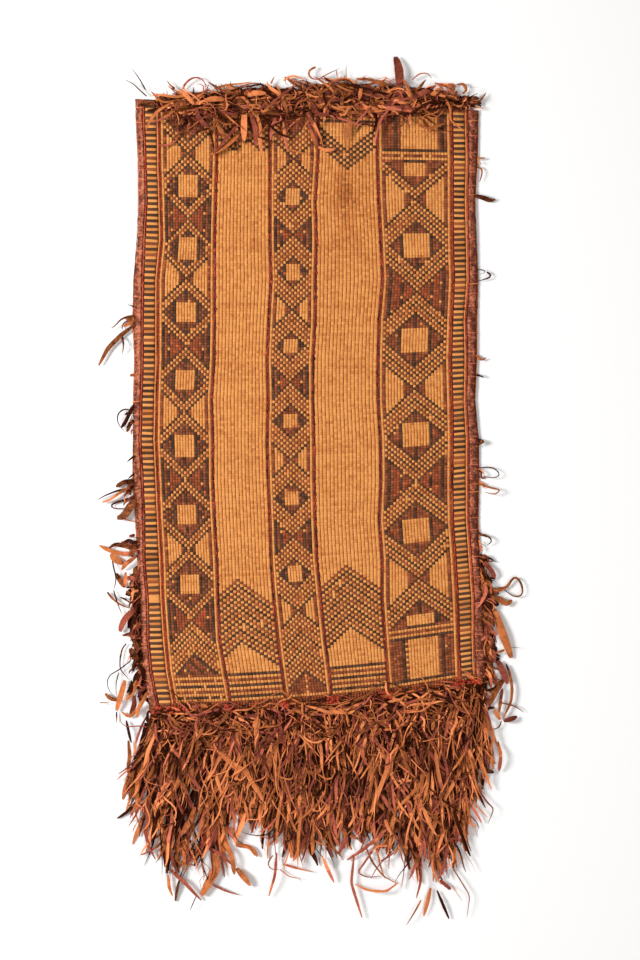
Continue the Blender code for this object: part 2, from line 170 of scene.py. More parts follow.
class MatSizes(bpy.types.PropertyGroup):
    """Sizes of the weave and the leather."""

    reed_high: length_property("Reed height", "How far a reed stands over the ground", 1.2 * MM)
    float_high: length_property(
        "Leather height", "How far leather over a reed stands over the ground", 1.6 * MM)
    shoulder: share_property(
        "Shoulder", "Share by which the top of a woven cell is drawn in", 0.34)
    strip_wide: length_property("Strip width", "Width of a red border strip", 2.9 * MM)
    ribbon_cup: share_property(
        "Ribbon cup", "Share of its width by which a ribbon curls along its edges", 0.1)
    ribbon_thick: share_property(
        "Ribbon thickness", "Share of its width by which a ribbon is thick", 0.06)
    foot_ribbons: IntProperty(
        name="Foot ribbons", description="Ribbons in the long fringe", default=1850)
    head_ribbons: IntProperty(
        name="Head ribbons", description="Ribbons in the tangled head fringe", default=640)


class MatColours(bpy.types.PropertyGroup):
    """Colours of the reeds and the dyed leathers."""

    reed: colour_property("Reed", "Golden split reed", "E29751")
    brown: colour_property("Brown leather", "Leather woven over the reeds", "8C4C2E")
    black: colour_property("Black leather", "Dark leather woven over the reeds", "583A29")
    red: colour_property("Red leather", "Border strips", "B03A28")
    wine: colour_property("Wine red leather", "Strips beside the fields", "78302A")
    fold: colour_property("Binding leather", "Side bindings", "9C563B")
    tan: colour_property("Tan leather", "Fringe ribbons", "C46F3E")


def add_node(tree, kind, inputs=None, stops=None, **settings):
    """Adds a node. Inputs are values or sockets to link, and stops the colours of a ramp."""
    made = tree.nodes.new(kind)
    for name, value in settings.items():
        setattr(made, name, value)
    for name, value in (inputs or {}).items():
        if isinstance(value, bpy.types.NodeSocket):
            tree.links.new(value, made.inputs[name])
        else:
            made.inputs[name].default_value = value
    for number, (place, shade) in enumerate(stops or ()):
        elements = made.color_ramp.elements
        element = elements[number] if number < 2 else elements.new(place)
        element.position = place
        element.color = shade
    return made


def tinted(base, tint):
    """A colour with its red, green and blue each scaled."""
    return (*(min(1.0, channel * share) for channel, share in zip(base, tint)), 1.0)


def surface(name, roughness, specular):
    """A material with its shader, ready for nodes that give its colour and bump."""
    material = bpy.data.materials.new(name)
    material.use_nodes = True
    shader = material.node_tree.nodes["Principled BSDF"]
    shader.inputs["Roughness"].default_value = roughness
    shader.inputs["Specular IOR Level"].default_value = specular
    return material, material.node_tree, shader


def finish_surface(tree, shader, tint, height, depth):
    """Links a colour and a bump of a real depth to a shader."""
    relief = add_node(tree, "ShaderNodeBump", {
        "Height": height, "Distance": depth, "Strength": 0.8})
    tree.links.new(tint, shader.inputs["Base Color"])
    tree.links.new(relief.outputs["Normal"], shader.inputs["Normal"])


def split_reed(base):
    """Split reeds, cut and dried: glossy golden skin with fine streaks along each reed and brown
    spots, each reed of its own tone."""
    material, tree, shader = surface("split_reed", 0.55, 0.2)
    place = add_node(tree, "ShaderNodeTexCoord").outputs["Object"]
    streaked = add_node(tree, "ShaderNodeMapping", {"Vector": place, "Scale": (0.12, 1.0, 1.0)})
    streaks = add_node(tree, "ShaderNodeTexNoise", {
        "Vector": streaked.outputs["Vector"], "Scale": 1 / (0.9 * MM), "Detail": 3.0})
    patches = add_node(tree, "ShaderNodeTexNoise", {
        "Vector": place, "Scale": 1 / (55 * MM), "Detail": 4.0, "Roughness": 0.65})
    spots = add_node(tree, "ShaderNodeTexNoise", {
        "Vector": place, "Scale": 1 / (4.5 * MM), "Detail": 2.0})
    tone = add_node(tree, "ShaderNodeAttribute", attribute_name="tone")
    drift = add_node(tree, "ShaderNodeMath", {0: patches.outputs["Fac"], 1: 0.3, 2: -0.15},
                     operation="MULTIPLY_ADD")
    fine = add_node(tree, "ShaderNodeMath", {
        0: streaks.outputs["Fac"], 1: 0.36, 2: drift.outputs["Value"]}, operation="MULTIPLY_ADD")
    level = add_node(tree, "ShaderNodeMath", {0: fine.outputs["Value"], 1: tone.outputs["Fac"]},
                     operation="ADD")
    ramp = add_node(tree, "ShaderNodeValToRGB", {"Fac": level.outputs["Value"]}, stops=(
        (0.15, tinted(base, (0.30, 0.20, 0.13))),
        (0.95, tinted(base, (1.12, 1.22, 1.30))),
        (0.38, tinted(base, (0.72, 0.56, 0.45))),
        (0.60, base),
        (0.78, tinted(base, (1.04, 1.05, 1.0))),
    ))
    spot = add_node(tree, "ShaderNodeValToRGB", {"Fac": spots.outputs["Fac"]}, stops=(
        (0.24, (0.42, 0.34, 0.28, 1.0)),
        (0.34, (1.0, 1.0, 1.0, 1.0)),
    ))
    mixed = add_node(tree, "ShaderNodeMix", {"Factor": 1.0, 6: ramp.outputs["Color"],
                                             7: spot.outputs["Color"]},
                     data_type="RGBA", blend_type="MULTIPLY")
    finish_surface(tree, shader, mixed.outputs[2], streaks.outputs["Fac"], 0.25 * MM)
    return material


def goatskin(name, deep, middle, light, roughness, grain=1.3 * MM, worn=22 * MM, reach=0.5,
             fleck=0.35, sheen=0.12):
    """Goatskin, tanned and dyed: a matt skin with a pebbled grain, scuffed paler in patches, each
    strip of its own tone. The grain is drawn coarse enough to show. reach and fleck are how far the
    patches and the grain change the tone."""
    material, tree, shader = surface(name, roughness, sheen)
    place = add_node(tree, "ShaderNodeTexCoord").outputs["Object"]
    pebbles = add_node(tree, "ShaderNodeTexNoise", {
        "Vector": place, "Scale": 1 / grain, "Detail": 3.0, "Roughness": 0.6})
    patches = add_node(tree, "ShaderNodeTexNoise", {
        "Vector": place, "Scale": 1 / worn, "Detail": 5.0, "Roughness": 0.7})
    tone = add_node(tree, "ShaderNodeAttribute", attribute_name="tone")
    scuff = add_node(tree, "ShaderNodeMath", {
        0: patches.outputs["Fac"], 1: reach, 2: 0.175 - (reach + fleck) / 2},
        operation="MULTIPLY_ADD")
    fine = add_node(tree, "ShaderNodeMath", {
        0: pebbles.outputs["Fac"], 1: fleck, 2: scuff.outputs["Value"]}, operation="MULTIPLY_ADD")
    level = add_node(tree, "ShaderNodeMath", {0: fine.outputs["Value"], 1: tone.outputs["Fac"]},
                     operation="ADD")
    ramp = add_node(tree, "ShaderNodeValToRGB", {"Fac": level.outputs["Value"]},
                    stops=((0.2, deep), (0.95, light), (0.6, middle)))
    finish_surface(tree, shader, ramp.outputs["Color"], pebbles.outputs["Fac"], 0.35 * MM)
    return material


def matt_floor():
    """Matt white studio paper: even, with a faint tooth."""
    material, tree, shader = surface("matt_paper", 0.9, 0.1)
    place = add_node(tree, "ShaderNodeTexCoord").outputs["Object"]
    tooth = add_node(tree, "ShaderNodeTexNoise", {"Vector": place, "Scale": 1 / (3 * MM)})
    ramp = add_node(tree, "ShaderNodeValToRGB", {"Fac": tooth.outputs["Fac"]},
                    stops=((0.0, colour("F9F8F7")), (1.0, colour("FEFDFC"))))
    finish_surface(tree, shader, ramp.outputs["Color"], tooth.outputs["Fac"], 0.05 * MM)
    return material


# The leathers: which colour they take, its tints where they are deep, middling and light, and their
# roughness. The last four also have the size of the grain and of the worn patches, how far each
# changes the tone, and the sheen of their own.
PLAIN = (1.0, 1.0, 1.0)
LEATHERS = {
    # Thin strips woven over the reeds, matt, and rubbed paler in patches.
    "brown_woven_goatskin": ("brown", (0.5, 0.42, 0.4), PLAIN, (1.9, 1.7, 1.5), 0.6),
    "black_woven_goatskin": ("black", (0.45, 0.45, 0.45), PLAIN, (2.0, 1.8, 1.6), 0.55),
    "russet_woven_goatskin": ("brown", (0.6, 0.6, 0.6), (1.25, 0.96, 0.9), (2.3, 1.7, 1.3), 0.6),
    # The thongs that bind the reeds, brown and dull in the gaps between them.
    "ground_goatskin": ("brown", (0.7, 0.6, 0.5), (1.3, 1.25, 1.0), (1.7, 1.7, 1.4), 0.7),
    # Dyed border strips: saturated red or dark wine red, faded here and there.
    "red_dyed_goatskin": ("red", (0.3, 0.25, 0.25), PLAIN, (1.3, 2.4, 2.0), 0.5),
    "wine_dyed_goatskin": ("wine", (0.25, 0.25, 0.25), PLAIN, (2.2, 2.2, 1.8), 0.55),
    # Old bindings: blotched brown with pinkish scuffs, and nearly black where painted shade darkens
    # the fold's edges.
    "folded_binding_goatskin": (
        "fold", (0.28, 0.2, 0.2), PLAIN, (2.0, 2.3, 2.7), 0.6, 3.0 * MM, 9 * MM, 0.6, 1.3),
    # Cut ribbons: orange tan or purplish brown, almost without sheen, and very dark in shade.
    "cut_ribbon_goatskin": ("tan", (0.07, 0.04, 0.03), PLAIN, (1.65, 1.8, 2.15),
                            0.48, 3.0 * MM, 34 * MM, 0.4, 0.6, 0.05),
    "wine_ribbon_goatskin": ("tan", (0.06, 0.03, 0.03), (0.62, 0.48, 0.95), (1.2, 1.06, 1.9),
                             0.5, 3.0 * MM, 34 * MM, 0.4, 0.6, 0.05),
}


def materials():
    """The mat's finishes by name, made once."""
    if "split_reed" not in bpy.data.materials:
        dyes = bpy.context.scene.mat_colours
        split_reed(tuple(dyes.reed))
        for name, (dye, deep, middle, light, *finish) in LEATHERS.items():
            tones = (tinted(getattr(dyes, dye), tint) for tint in (deep, middle, light))
            goatskin(name, *tones, *finish)
    return bpy.data.materials


def rumpled(x, y, size, seed):
    """Smooth noise from -1 to 1 with bumps of about a given size."""
    return noise.noise(Vector((x / size, y / size, seed)))


def column_x(column, y):
    """x of a line at heights y, in metres."""
    table = np.array(LINES, float) * MM
    return np.interp(y, table[:, 0], table[:, COLUMNS.index(column)])


def mat_point(column, v):
    """x and y of a line at shares v of the mat's length, from foot 0 to head 1."""
    foot, head = np.array(FOOT_EDGE, float) * MM, np.array(HEAD_EDGE, float) * MM
    v = np.asarray(v, float)
    x = column_x(column, np.zeros_like(v))
    for _ in range(4):
        y = lerp(np.interp(x, foot[:, 0], foot[:, 1]), np.interp(x, head[:, 0], head[:, 1]), v)
        x = column_x(column, y)
    return x, y


def zone_point(zone, across, v):
    """Points at shares across a zone between two lines, clear of the strips that lie on them."""
    first, last, margin = zone
    ax, ay = mat_point(first, v)
    bx, by = mat_point(last, v)
    run = np.maximum(np.hypot(bx - ax, by - ay), MM)
    t = (margin + np.asarray(across) * (run - 2 * margin)) / run
    return lerp(ax, bx, t), lerp(ay, by, t)


def give_tones(mesh, tones):
    """Stores how pale each point is, which the finishes read."""
    mesh.attributes.new("tone", "FLOAT", "POINT").data.foreach_set("value", tones)


def lofted_mesh(name, rings, finish, smooth=False):
    """A closed solid through rings that have an even number of points each. A cap is zipped up from
    one side of its ring to the other, so it follows a bent end."""
    size = len(rings[0])
    last = (len(rings) - 1) * size
    faces = [(at + i, at + i + 1, at + size - 2 - i, at + size - 1 - i)
             for at in (0, last) for i in range(size // 2 - 1)]
    for at in range(0, last, size):
        for i in range(size):
            j = (i + 1) % size
            faces.append((at + i, at + size + i, at + size + j, at + j))
    mesh = bpy.data.meshes.new(name)
    mesh.from_pydata([point for ring in rings for point in ring], [], faces)
    form = bmesh.new()
    form.from_mesh(mesh)
    bmesh.ops.recalc_face_normals(form, faces=form.faces)
    form.to_mesh(mesh)
    form.free()
    if smooth:
        mesh.shade_smooth()
    mesh.materials.append(materials()[finish])
    return mesh


def carrier_mesh(name, points, edges, words):
    """A mesh of loose points or lines that a node tree reads, with a named value for each point."""
    mesh = bpy.data.meshes.new(name)
    mesh.from_pydata([tuple(p) for p in points], edges, [])
    for word, values in words.items():
        values = np.asarray(values, np.float32)
        if values.ndim == 2:
            mesh.attributes.new(word, "FLOAT_VECTOR", "POINT").data.foreach_set(
                "vector", values.ravel())
        else:
            mesh.attributes.new(word, "FLOAT", "POINT").data.foreach_set("value", values)
    return mesh


def place_piece(name, mesh, replaced=()):
    """Puts a finished mesh in the scene as a piece that rides on the mat."""
    piece = bpy.data.objects.new(name, mesh)
    bpy.context.scene.collection.objects.link(piece)
    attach(piece, BODY)
    if replaced:
        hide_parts(*replaced)
    return piece


def grown_mesh(name, carrier, tree, sizes):
    """Runs a node tree on a carrier mesh and gives the result as a plain mesh."""
    source = bpy.data.objects.new(name + "_source", carrier)
    bpy.context.scene.collection.objects.link(source)
    modifier = source.modifiers.new("grow", "NODES")
    modifier.node_group = tree
    for item in tree.interface.items_tree:
        if item.item_type == "SOCKET" and item.in_out == "INPUT" and item.name in sizes:
            modifier[item.identifier] = sizes[item.name]
    graph = bpy.context.evaluated_depsgraph_get()
    mesh = bpy.data.meshes.new_from_object(source.evaluated_get(graph), depsgraph=graph)
    source.modifiers.clear()
    bpy.data.objects.remove(source)
    if not mesh.polygons:
        raise RuntimeError(f"{name}: the node tree made no faces")
    mesh.name = name
    return mesh


def new_tree(name, sizes):
    """An empty geometry tree with named inputs for its sizes."""
    tree = bpy.data.node_groups.new(name, "GeometryNodeTree")
    tree.interface.new_socket("Geometry", in_out="INPUT", socket_type="NodeSocketGeometry")
    for size in sizes:
        tree.interface.new_socket(size, in_out="INPUT", socket_type="NodeSocketFloat")
    tree.interface.new_socket("Geometry", in_out="OUTPUT", socket_type="NodeSocketGeometry")
    return tree, add_node(tree, "NodeGroupInput"), add_node(tree, "NodeGroupOutput")


def cell_tree(finishes):
    """Puts a soft cushion-shaped cell on each point, in the point's own size, turn and finish. It
    is made once for each set of finishes."""
    name = f"cells_of_{finishes[0]}"
    if name in bpy.data.node_groups:
        return bpy.data.node_groups[name]
    tree, given, result = new_tree(name, ("Shoulder",))
    block = add_node(tree, "GeometryNodeMeshCube", {"Vertices Z": 3})
    place = add_node(tree, "ShaderNodeSeparateXYZ",
                     {0: add_node(tree, "GeometryNodeInputPosition").outputs[0]})
    rise = add_node(tree, "ShaderNodeMath", {0: place.outputs["Z"], 1: 0.5}, operation="ADD")
    steep = add_node(tree, "ShaderNodeMath", {0: rise.outputs[0], 1: 2.6}, operation="POWER")
    drawn = add_node(tree, "ShaderNodeMath", {0: steep.outputs[0], 1: given.outputs["Shoulder"]},
                     operation="MULTIPLY")
    keep = add_node(tree, "ShaderNodeMath", {0: 1.0, 1: drawn.outputs[0]}, operation="SUBTRACT")
    wide, deep = (
        add_node(tree, "ShaderNodeMath", {0: place.outputs[axis], 1: keep.outputs[0]},
                 operation="MULTIPLY") for axis in "XY")
    high = add_node(tree, "ShaderNodeMath", {0: rise.outputs[0], 1: 0.55}, operation="POWER")
    moved = add_node(tree, "ShaderNodeCombineXYZ",
                     {0: wide.outputs[0], 1: deep.outputs[0], 2: high.outputs[0]})
    cell = add_node(tree, "GeometryNodeSetPosition",
                    {"Geometry": block.outputs["Mesh"], "Position": moved.outputs[0]})
    soft = add_node(tree, "GeometryNodeSetShadeSmooth", {"Geometry": cell.outputs[0]})
    size, turn, kind = (
        add_node(tree, "GeometryNodeInputNamedAttribute", {"Name": word}, data_type=values)
        for word, values in (("size", "FLOAT_VECTOR"), ("turn", "FLOAT_VECTOR"), ("kind", "FLOAT")))
    joined = add_node(tree, "GeometryNodeJoinGeometry")
    for number, finish in enumerate(finishes):
        chosen = add_node(tree, "FunctionNodeCompare", {
            "A": kind.outputs["Attribute"], "B": float(number), "Epsilon": 0.1},
            data_type="FLOAT", operation="EQUAL")
        laid = add_node(tree, "GeometryNodeInstanceOnPoints", {
            "Points": given.outputs["Geometry"], "Selection": chosen.outputs[0],
            "Instance": soft.outputs[0], "Rotation": turn.outputs["Attribute"],
            "Scale": size.outputs["Attribute"]})
        plain = add_node(tree, "GeometryNodeRealizeInstances", {"Geometry": laid.outputs[0]})
        skin = add_node(tree, "GeometryNodeSetMaterial", {
            "Geometry": plain.outputs[0], "Material": materials()[finish]})
        tree.links.new(skin.outputs[0], joined.inputs[0])
    tree.links.new(joined.outputs[0], result.inputs[0])
    return tree


def ribbon_tree():
    """Sweeps a thin cupped section along each line, in its own width, twist and finish. It is made
    once."""
    name = "cut_ribbons"
    if name in bpy.data.node_groups:
        return bpy.data.node_groups[name]
    tree, given, result = new_tree(name, ("Cup", "Thickness"))
    lines = add_node(tree, "GeometryNodeMeshToCurve", {"Mesh": given.outputs["Geometry"]})
    level = add_node(tree, "GeometryNodeSetCurveNormal", {"Curve": lines.outputs[0]}, mode="Z_UP")
    twist = add_node(tree, "GeometryNodeInputNamedAttribute", {"Name": "twist"}, data_type="FLOAT")
    turned = add_node(tree, "GeometryNodeSetCurveTilt", {
        "Curve": level.outputs[0], "Tilt": twist.outputs["Attribute"]})
    half = add_node(tree, "ShaderNodeMath", {0: given.outputs["Thickness"], 1: 0.5},
                    operation="MULTIPLY")
    under = add_node(tree, "ShaderNodeMath", {0: half.outputs[0], 1: -1.0}, operation="MULTIPLY")
    edges = [add_node(tree, "ShaderNodeCombineXYZ", {0: x, 1: given.outputs["Cup"]})
             for x in (-0.5, 0.5)]
    crown = add_node(tree, "ShaderNodeCombineXYZ", {1: half.outputs[0]})
    belly = add_node(tree, "ShaderNodeCombineXYZ", {1: under.outputs[0]})
    section = add_node(tree, "GeometryNodeCurvePrimitiveQuadrilateral", {
        "Point 1": edges[0].outputs[0], "Point 2": belly.outputs[0],
        "Point 3": edges[1].outputs[0], "Point 4": crown.outputs[0]}, mode="POINTS")
    wide = add_node(tree, "GeometryNodeInputNamedAttribute", {"Name": "wide"}, data_type="FLOAT")
    swept = add_node(tree, "GeometryNodeCurveToMesh", {
        "Curve": turned.outputs[0], "Profile Curve": section.outputs[0],
        "Scale": wide.outputs["Attribute"], "Fill Caps": True})
    soft = add_node(tree, "GeometryNodeSetShadeSmooth", {"Geometry": swept.outputs[0]})
    bend = add_node(tree, "GeometryNodeInputMeshEdgeAngle")
    cut = add_node(tree, "FunctionNodeCompare", {"A": bend.outputs["Unsigned Angle"], "B": 1.2},
                   data_type="FLOAT", operation="GREATER_THAN")
    crisp = add_node(tree, "GeometryNodeSetShadeSmooth", {
        "Geometry": soft.outputs[0], "Selection": cut.outputs[0], "Shade Smooth": False},
        domain="EDGE")
    plain = add_node(tree, "GeometryNodeRealizeInstances", {"Geometry": crisp.outputs[0]})
    skin = add_node(tree, "GeometryNodeSetMaterial", {
        "Geometry": plain.outputs[0], "Material": materials()["cut_ribbon_goatskin"]})
    kind = add_node(tree, "GeometryNodeInputNamedAttribute", {"Name": "kind"}, data_type="FLOAT")
    wine = add_node(tree, "FunctionNodeCompare", {"A": kind.outputs["Attribute"], "B": 0.5},
                    data_type="FLOAT", operation="GREATER_THAN")
    dyed = add_node(tree, "GeometryNodeSetMaterial", {
        "Geometry": skin.outputs[0], "Selection": wine.outputs[0],
        "Material": materials()["wine_ribbon_goatskin"]})
    tree.links.new(dyed.outputs[0], result.inputs[0])
    return tree


def band_steps(band, c, r):
    """For a cell of a band: lines in from the lattice, columns from the centre line, rows from its
    diamond's centre, or None in the half diamonds at both ends, and whether the triangle beside it
    is one of reeds."""
    dx = abs(c - band["columns"] // 2)
    crossings = band["crossings"]
    (first, first_reeds), (last, last_reeds) = crossings[0], crossings[-1]
    if r < first:
        return math.floor(first - r) - dx, dx, None, first_reeds
    if r >= last:
        return math.floor(r - last) - dx, dx, None, last_reeds
    low, low_reeds = max(item for item in crossings if item[0] <= r)
    high, high_reeds = min(item for item in crossings if item[0] > r)
    dy = r - (low + high) / 2
    k = math.floor((high - low) / 2 - dx - abs(dy) + 0.5)
    return k, dx, dy, high_reeds if dy > 0 else low_reeds


def side_triangle(band, dx, r, reeds):
    """The triangle between a diamond and the band's edge."""
    outer = band["columns"] // 2
    if reeds:
        return "B" if dx == outer or dx < outer * 0.34 else "G"
    inner, edge = band["dark_at"]
    if dx in (inner, edge):
        return "G" if dx == inner and r % 6 == 0 else "K"
    return "B" if abs(dx - edge) == 1 or (r + 2 * dx) % 4 == 0 else "R"


def chart_band_left(c, r):
    """Diamonds with a reed square, between triangles of reeds and of russet leather."""
    if r < 10:
        letter = "GKGBGKGBGB"[r]
        return "G" if letter != "G" and (c * 5 + r * 3) % 13 == 0 else letter
    k, dx, dy, reeds = band_steps(BAND_LEFT, c, r)
    if k < 0:
        return side_triangle(BAND_LEFT, dx, r, reeds)
    if r < 30:
        if k < 13:
            return "K" if k in (0, 4, 12) else "G" if k % 2 else "B"
        return "G" if dx == 4 and r % 2 else "K" if (c + r) % 4 == 0 else "B"
    if dy is not None and abs(dy) <= 3.5:
        if dx <= 4:
            return "G" if dx <= 3 else "K"
        if dx <= 6 and abs(dy) <= 2.5:
            return "K" if (c + r) % 2 else "B"
    if k <= 4:
        return RINGS[k]
    if dy is None:
        return "G" if dx == 0 and r % 2 else "B"
    return "K" if dx == 0 and 3.5 < abs(dy) <= 7 else "B"


def chart_band_middle(c, r):
    """Small diamonds ringed by chequered lines, with a short reed square in a dark frame."""
    if r < 1:
        return "G"
    k, dx, dy, reeds = band_steps(BAND_MIDDLE, c, r)
    if k < 0:
        return side_triangle(BAND_MIDDLE, dx, r, reeds)
    if r < 31:
        if r <= 8 and k > 22:
            return "G" if dx == 0 and r % 2 else "B"
        return "K" if k in (0, 8, 14, 22) else "G" if k % 2 else "B"
    if k < 8:
        return "K" if k == 0 else "G" if k % 2 else "B"
    if dy is None:
        return "K" if k == 8 else "B"
    if abs(dy) <= 2.5 and dx <= 2:
        return "G"
    dark = k == 8 or (dx >= 3 and abs(dy) < 2 and (c + r) % 3)
    return "K" if dark else "B"


def chart_band_right(c, r):
    """Large diamonds ringed by nine lines, with a reed square between dark bars, and a panelled
    border at each end."""
    if r < 2:
        return "GK"[r]
    if r < 17:
        if 6 <= c <= 15:
            return "G"
        if c == 5:
            return "G" if r % 2 else "B"
        return "K" if c in (4, 17) else "B"
    k, dx, dy, reeds = band_steps(BAND_RIGHT, c, r)
    if r < 22:
        return RINGS[r - 17] if r < 21 or dx <= 4 else "B"
    if r >= 211:
        return "KGG"[min(2, r - 211)]
    if r >= 199:
        if 6 <= c <= 17:
            return "G"
        return "K" if c in (4, 19) else "B"
    if r >= 194:
        return RINGS[r - 194] if r > 194 or dx <= 3 else "B"
    if k < 0:
        return side_triangle(BAND_RIGHT, dx, r, reeds)
    if r < 39:
        if k <= 8:
            return RINGS[k]
        if r <= 25 and dx <= 6:
            return "G" if dx <= 4 else "K" if c > 10 else "B"
        return "K" if dx == 0 and r <= 30 else "B"
    if dy is None:
        if k <= 4:
            return RINGS[k]
        return "G" if r >= 189 and dx <= 3 else "B"
    if abs(dy) <= 4.5 and dx <= 5:
        return "G" if dx <= 4 else "K"
    if k <= 8:
        return "B" if k == 4 and c <= 7 and dy > 0 else RINGS[k]
    return "K" if dx == 0 and abs(dy) <= 9 else "B"


def foot_arrow(c, r, centre, top):
    """The stripes at a field's foot and the arrowhead over them, which has leather at every second
    line, each second of them black. Nothing above it."""
    if r < 10:
        return FOOT_STRIPES[r]
    k = top - r - abs(c - centre)
    if k < 0:
        return None
    if k >= 24 or k % 2:
        return "G"
    return "K" if k % 4 == 2 else "B"


def chart_field_left(c, r):
    """A plain field, with an arrowhead and stripes at the foot and zigzag lines at the head."""
    letter = foot_arrow(c, r, 5, 43)
    if letter:
        return letter
    period, swing = 8.0, 4.5
    share = ((c - 4.5) / period) % 1.0
    k = math.floor(r - (195.5 + swing * (1 - abs(2 * share - 1))))
    if k < 0 or k % 2:
        return "G"
    return "K" if k % 4 == 0 else "B"


def chart_field_right(c, r):
    """A plain field, with an arrowhead and stripes at the foot and a deep V at the head."""
    letter = foot_arrow(c, r, 7, 46)
    if letter:
        return letter
    if r >= 208:
        return "KGBGKG"[min(5, r - 208)]
    k = r - 191 - abs(c - 8)
    return "KGKGKGK"[k] if 0 <= k <= 6 else "G"


def charted_row(rng, r, count, skip, chart, guards):
    """The letters of one row, with the guards at its ends and a worn-out cell here and there."""
    letters = []
    for n in range(count):
        if n < skip:
            letters.append(guards[n])
        elif n >= count - skip:
            letters.append(guards[n - count])
        else:
            letter = chart(n - skip, r)
            worn = count > 4 and letter in "KB" and rng.random() < FLAW_SHARE
            letters.append("G" if worn else letter)
    return letters


def soiled(x, y):
    """How much darker the reeds are where the mat is dirty: a broad patch near the head end of the
    right field, with a narrow stain in it."""
    patch = 0.07 * math.exp(-((x - 0.075) / 0.06) ** 2 - ((y - 0.3) / 0.12) ** 2)
    return patch + 0.17 * math.exp(-((x - 0.068) / 0.014) ** 2 - ((y - 0.35) / 0.05) ** 2)


class Cells:
    """Woven cells or stitches, gathered for one piece: where each lies, its size and its turn, the
    number of its finish and its tone."""

    def __init__(self):
        self.spots = []
        self.words = {"size": [], "turn": [], "kind": [], "tone": []}

    def add(self, spot, *values):
        """A cell at a spot, with its size, turn, kind and tone."""
        self.spots.append(spot)
        for word, value in zip(self.words, values):
            self.words[word].append(value)

    def piece(self, name, slot, replaced=(), finishes=WOVEN, shoulder=0.3):
        """Makes the piece of all its cells."""
        carrier = carrier_mesh(name, self.spots, [], self.words)
        mesh = grown_mesh(name, carrier, cell_tree(finishes), {"Shoulder": shoulder})
        return place_piece(name, mesh, replaced)


def banded(band):
    """Column widths of a patterned band, with the two guard columns at each side of it."""
    return [GUARD_LINE, GUARD] + [1.0] * band["columns"] + [GUARD, GUARD_LINE]


def weave(name, seed, zone, widths, chart, guards="", first_row=0):
    """One zone of the weave as a piece. widths are the columns' shares of the zone, and guards
    gives a letter for the columns that border a chart."""
    sizes = bpy.context.scene.mat_sizes
    rng = random.Random(seed)
    edges = np.concatenate([[0.0], np.cumsum(widths)])
    edges /= edges[-1]
    rows = range(first_row, ROWS)
    v = (np.array(rows) + 0.5) / ROWS
    v = v - ROW_SAG * np.sin(np.pi * np.clip(v, 0, 1))
    starts, ends = zone_point(zone, 0.0, v), zone_point(zone, 1.0, v)
    pitch = float((starts[1][-1] - starts[1][0] + ends[1][-1] - ends[1][0]) / 2 / (len(rows) - 1))
    span = np.hypot(ends[0] - starts[0], ends[1] - starts[1])
    slope = np.arctan2(ends[1] - starts[1], ends[0] - starts[0])
    skip = len(guards) // 2
    letters = [charted_row(rng, r, len(widths), skip, chart, guards) for r in rows]
    cells = Cells()
    for at in range(len(rows)):
        reed_tone = rng.gauss(0.36, 0.022)
        high = rng.uniform(0.96, 1.04)
        for n in range(len(widths)):
            kind = LETTERS[letters[at][n]]
            over = kind != REED
            joined = all(row[n] == "G" for row in letters[max(0, at - 1):at + 2])
            middle = (edges[n] + edges[n + 1]) / 2
            width = (edges[n + 1] - edges[n]) * span[at]
            x = lerp(starts[0][at], ends[0][at], middle) + rng.gauss(0, 0.1 * MM)
            y = lerp(starts[1][at], ends[1][at], middle) + rng.gauss(0, 0.1 * MM)
            rise = (sizes.float_high if over else sizes.reed_high) * high * rng.uniform(0.94, 1.06)
            long = width * rng.uniform(*(LEATHER_LONG if over else REED_LONG))
            tall = pitch * rng.uniform(*(JOINED_TALL if joined else ALONE_TALL))
            turn = (rng.gauss(0, 0.03), rng.gauss(0, 0.03), slope[at] + rng.gauss(0, 0.02))
            tone = rng.gauss(0.35, 0.14) if over else (
                reed_tone + rng.gauss(0, 0.055 if joined else 0.08) - soiled(x, y))
            cells.add((x, y, GROUND_TOP - SUNK), (long, tall, rise + SUNK), turn, kind, tone)
    return cells.piece(name, "reed_weave", shoulder=sizes.shoulder)


def ladder_left(c, r):
    """Rungs of reed and dark leather by turns, with a worn-out rung."""
    if c or not r % 2 or r in (36, 37, 38):
        return "G"
    return "B" if (r * 7) % 30 in (1, 3) else "K"


def ladder_right(c, r):
    """Rungs as on the left, with its own faded and worn-out ones."""
    if c or not r % 2:
        return "G"
    return "B" if (r * 3) % 22 in (1, 7) else "K"


class MAT_OT_ground(bpy.types.Operator):
    """The ground of the weave: a thin sheet under the reeds, dark in the gaps between them"""

    bl_idname = "mat.ground"
    bl_label = "Ground"

    def execute(self, context):
        stations = np.linspace(-0.018, 0.9985, 61)
        lines = [mat_point(f"strip_{number}", stations) for number in range(1, 9)]
        rings = []
        for k in range(len(stations)):
            top = [(x[k], y[k], GROUND_TOP) for x, y in lines]
            rings.append(top + [(x, y, 0.0) for x, y, _ in reversed(top)])
        mesh = lofted_mesh("ground_sheet", rings, "ground_goatskin")
        piece = place_piece("ground_sheet", mesh, ("mat_panel",))
        return {"FINISHED"}


class MAT_OT_bands(bpy.types.Operator):
    """The three patterned bands and the two plain fields of the weave"""

    bl_idname = "mat.bands"
    bl_label = "Bands and fields"

    def execute(self, context):
        for name, seed, first, widths, chart, guards in (
            ("band_left_weave", 21, 2, banded(BAND_LEFT), chart_band_left, "RGGR"),
            ("field_left_weave", 22, 3, [1.0] * 15, chart_field_left, ""),
            ("band_middle_weave", 23, 4, banded(BAND_MIDDLE), chart_band_middle, "RGGR"),
            ("field_right_weave", 24, 5, [1.0] * 17, chart_field_right, ""),
            ("band_right_weave", 25, 6, banded(BAND_RIGHT), chart_band_right, "RGGR"),
        ):
            zone = (f"strip_{first}", f"strip_{first + 1}", 1.4 * MM)
            weave(name, seed, zone, widths, chart, guards)
        return {"FINISHED"}


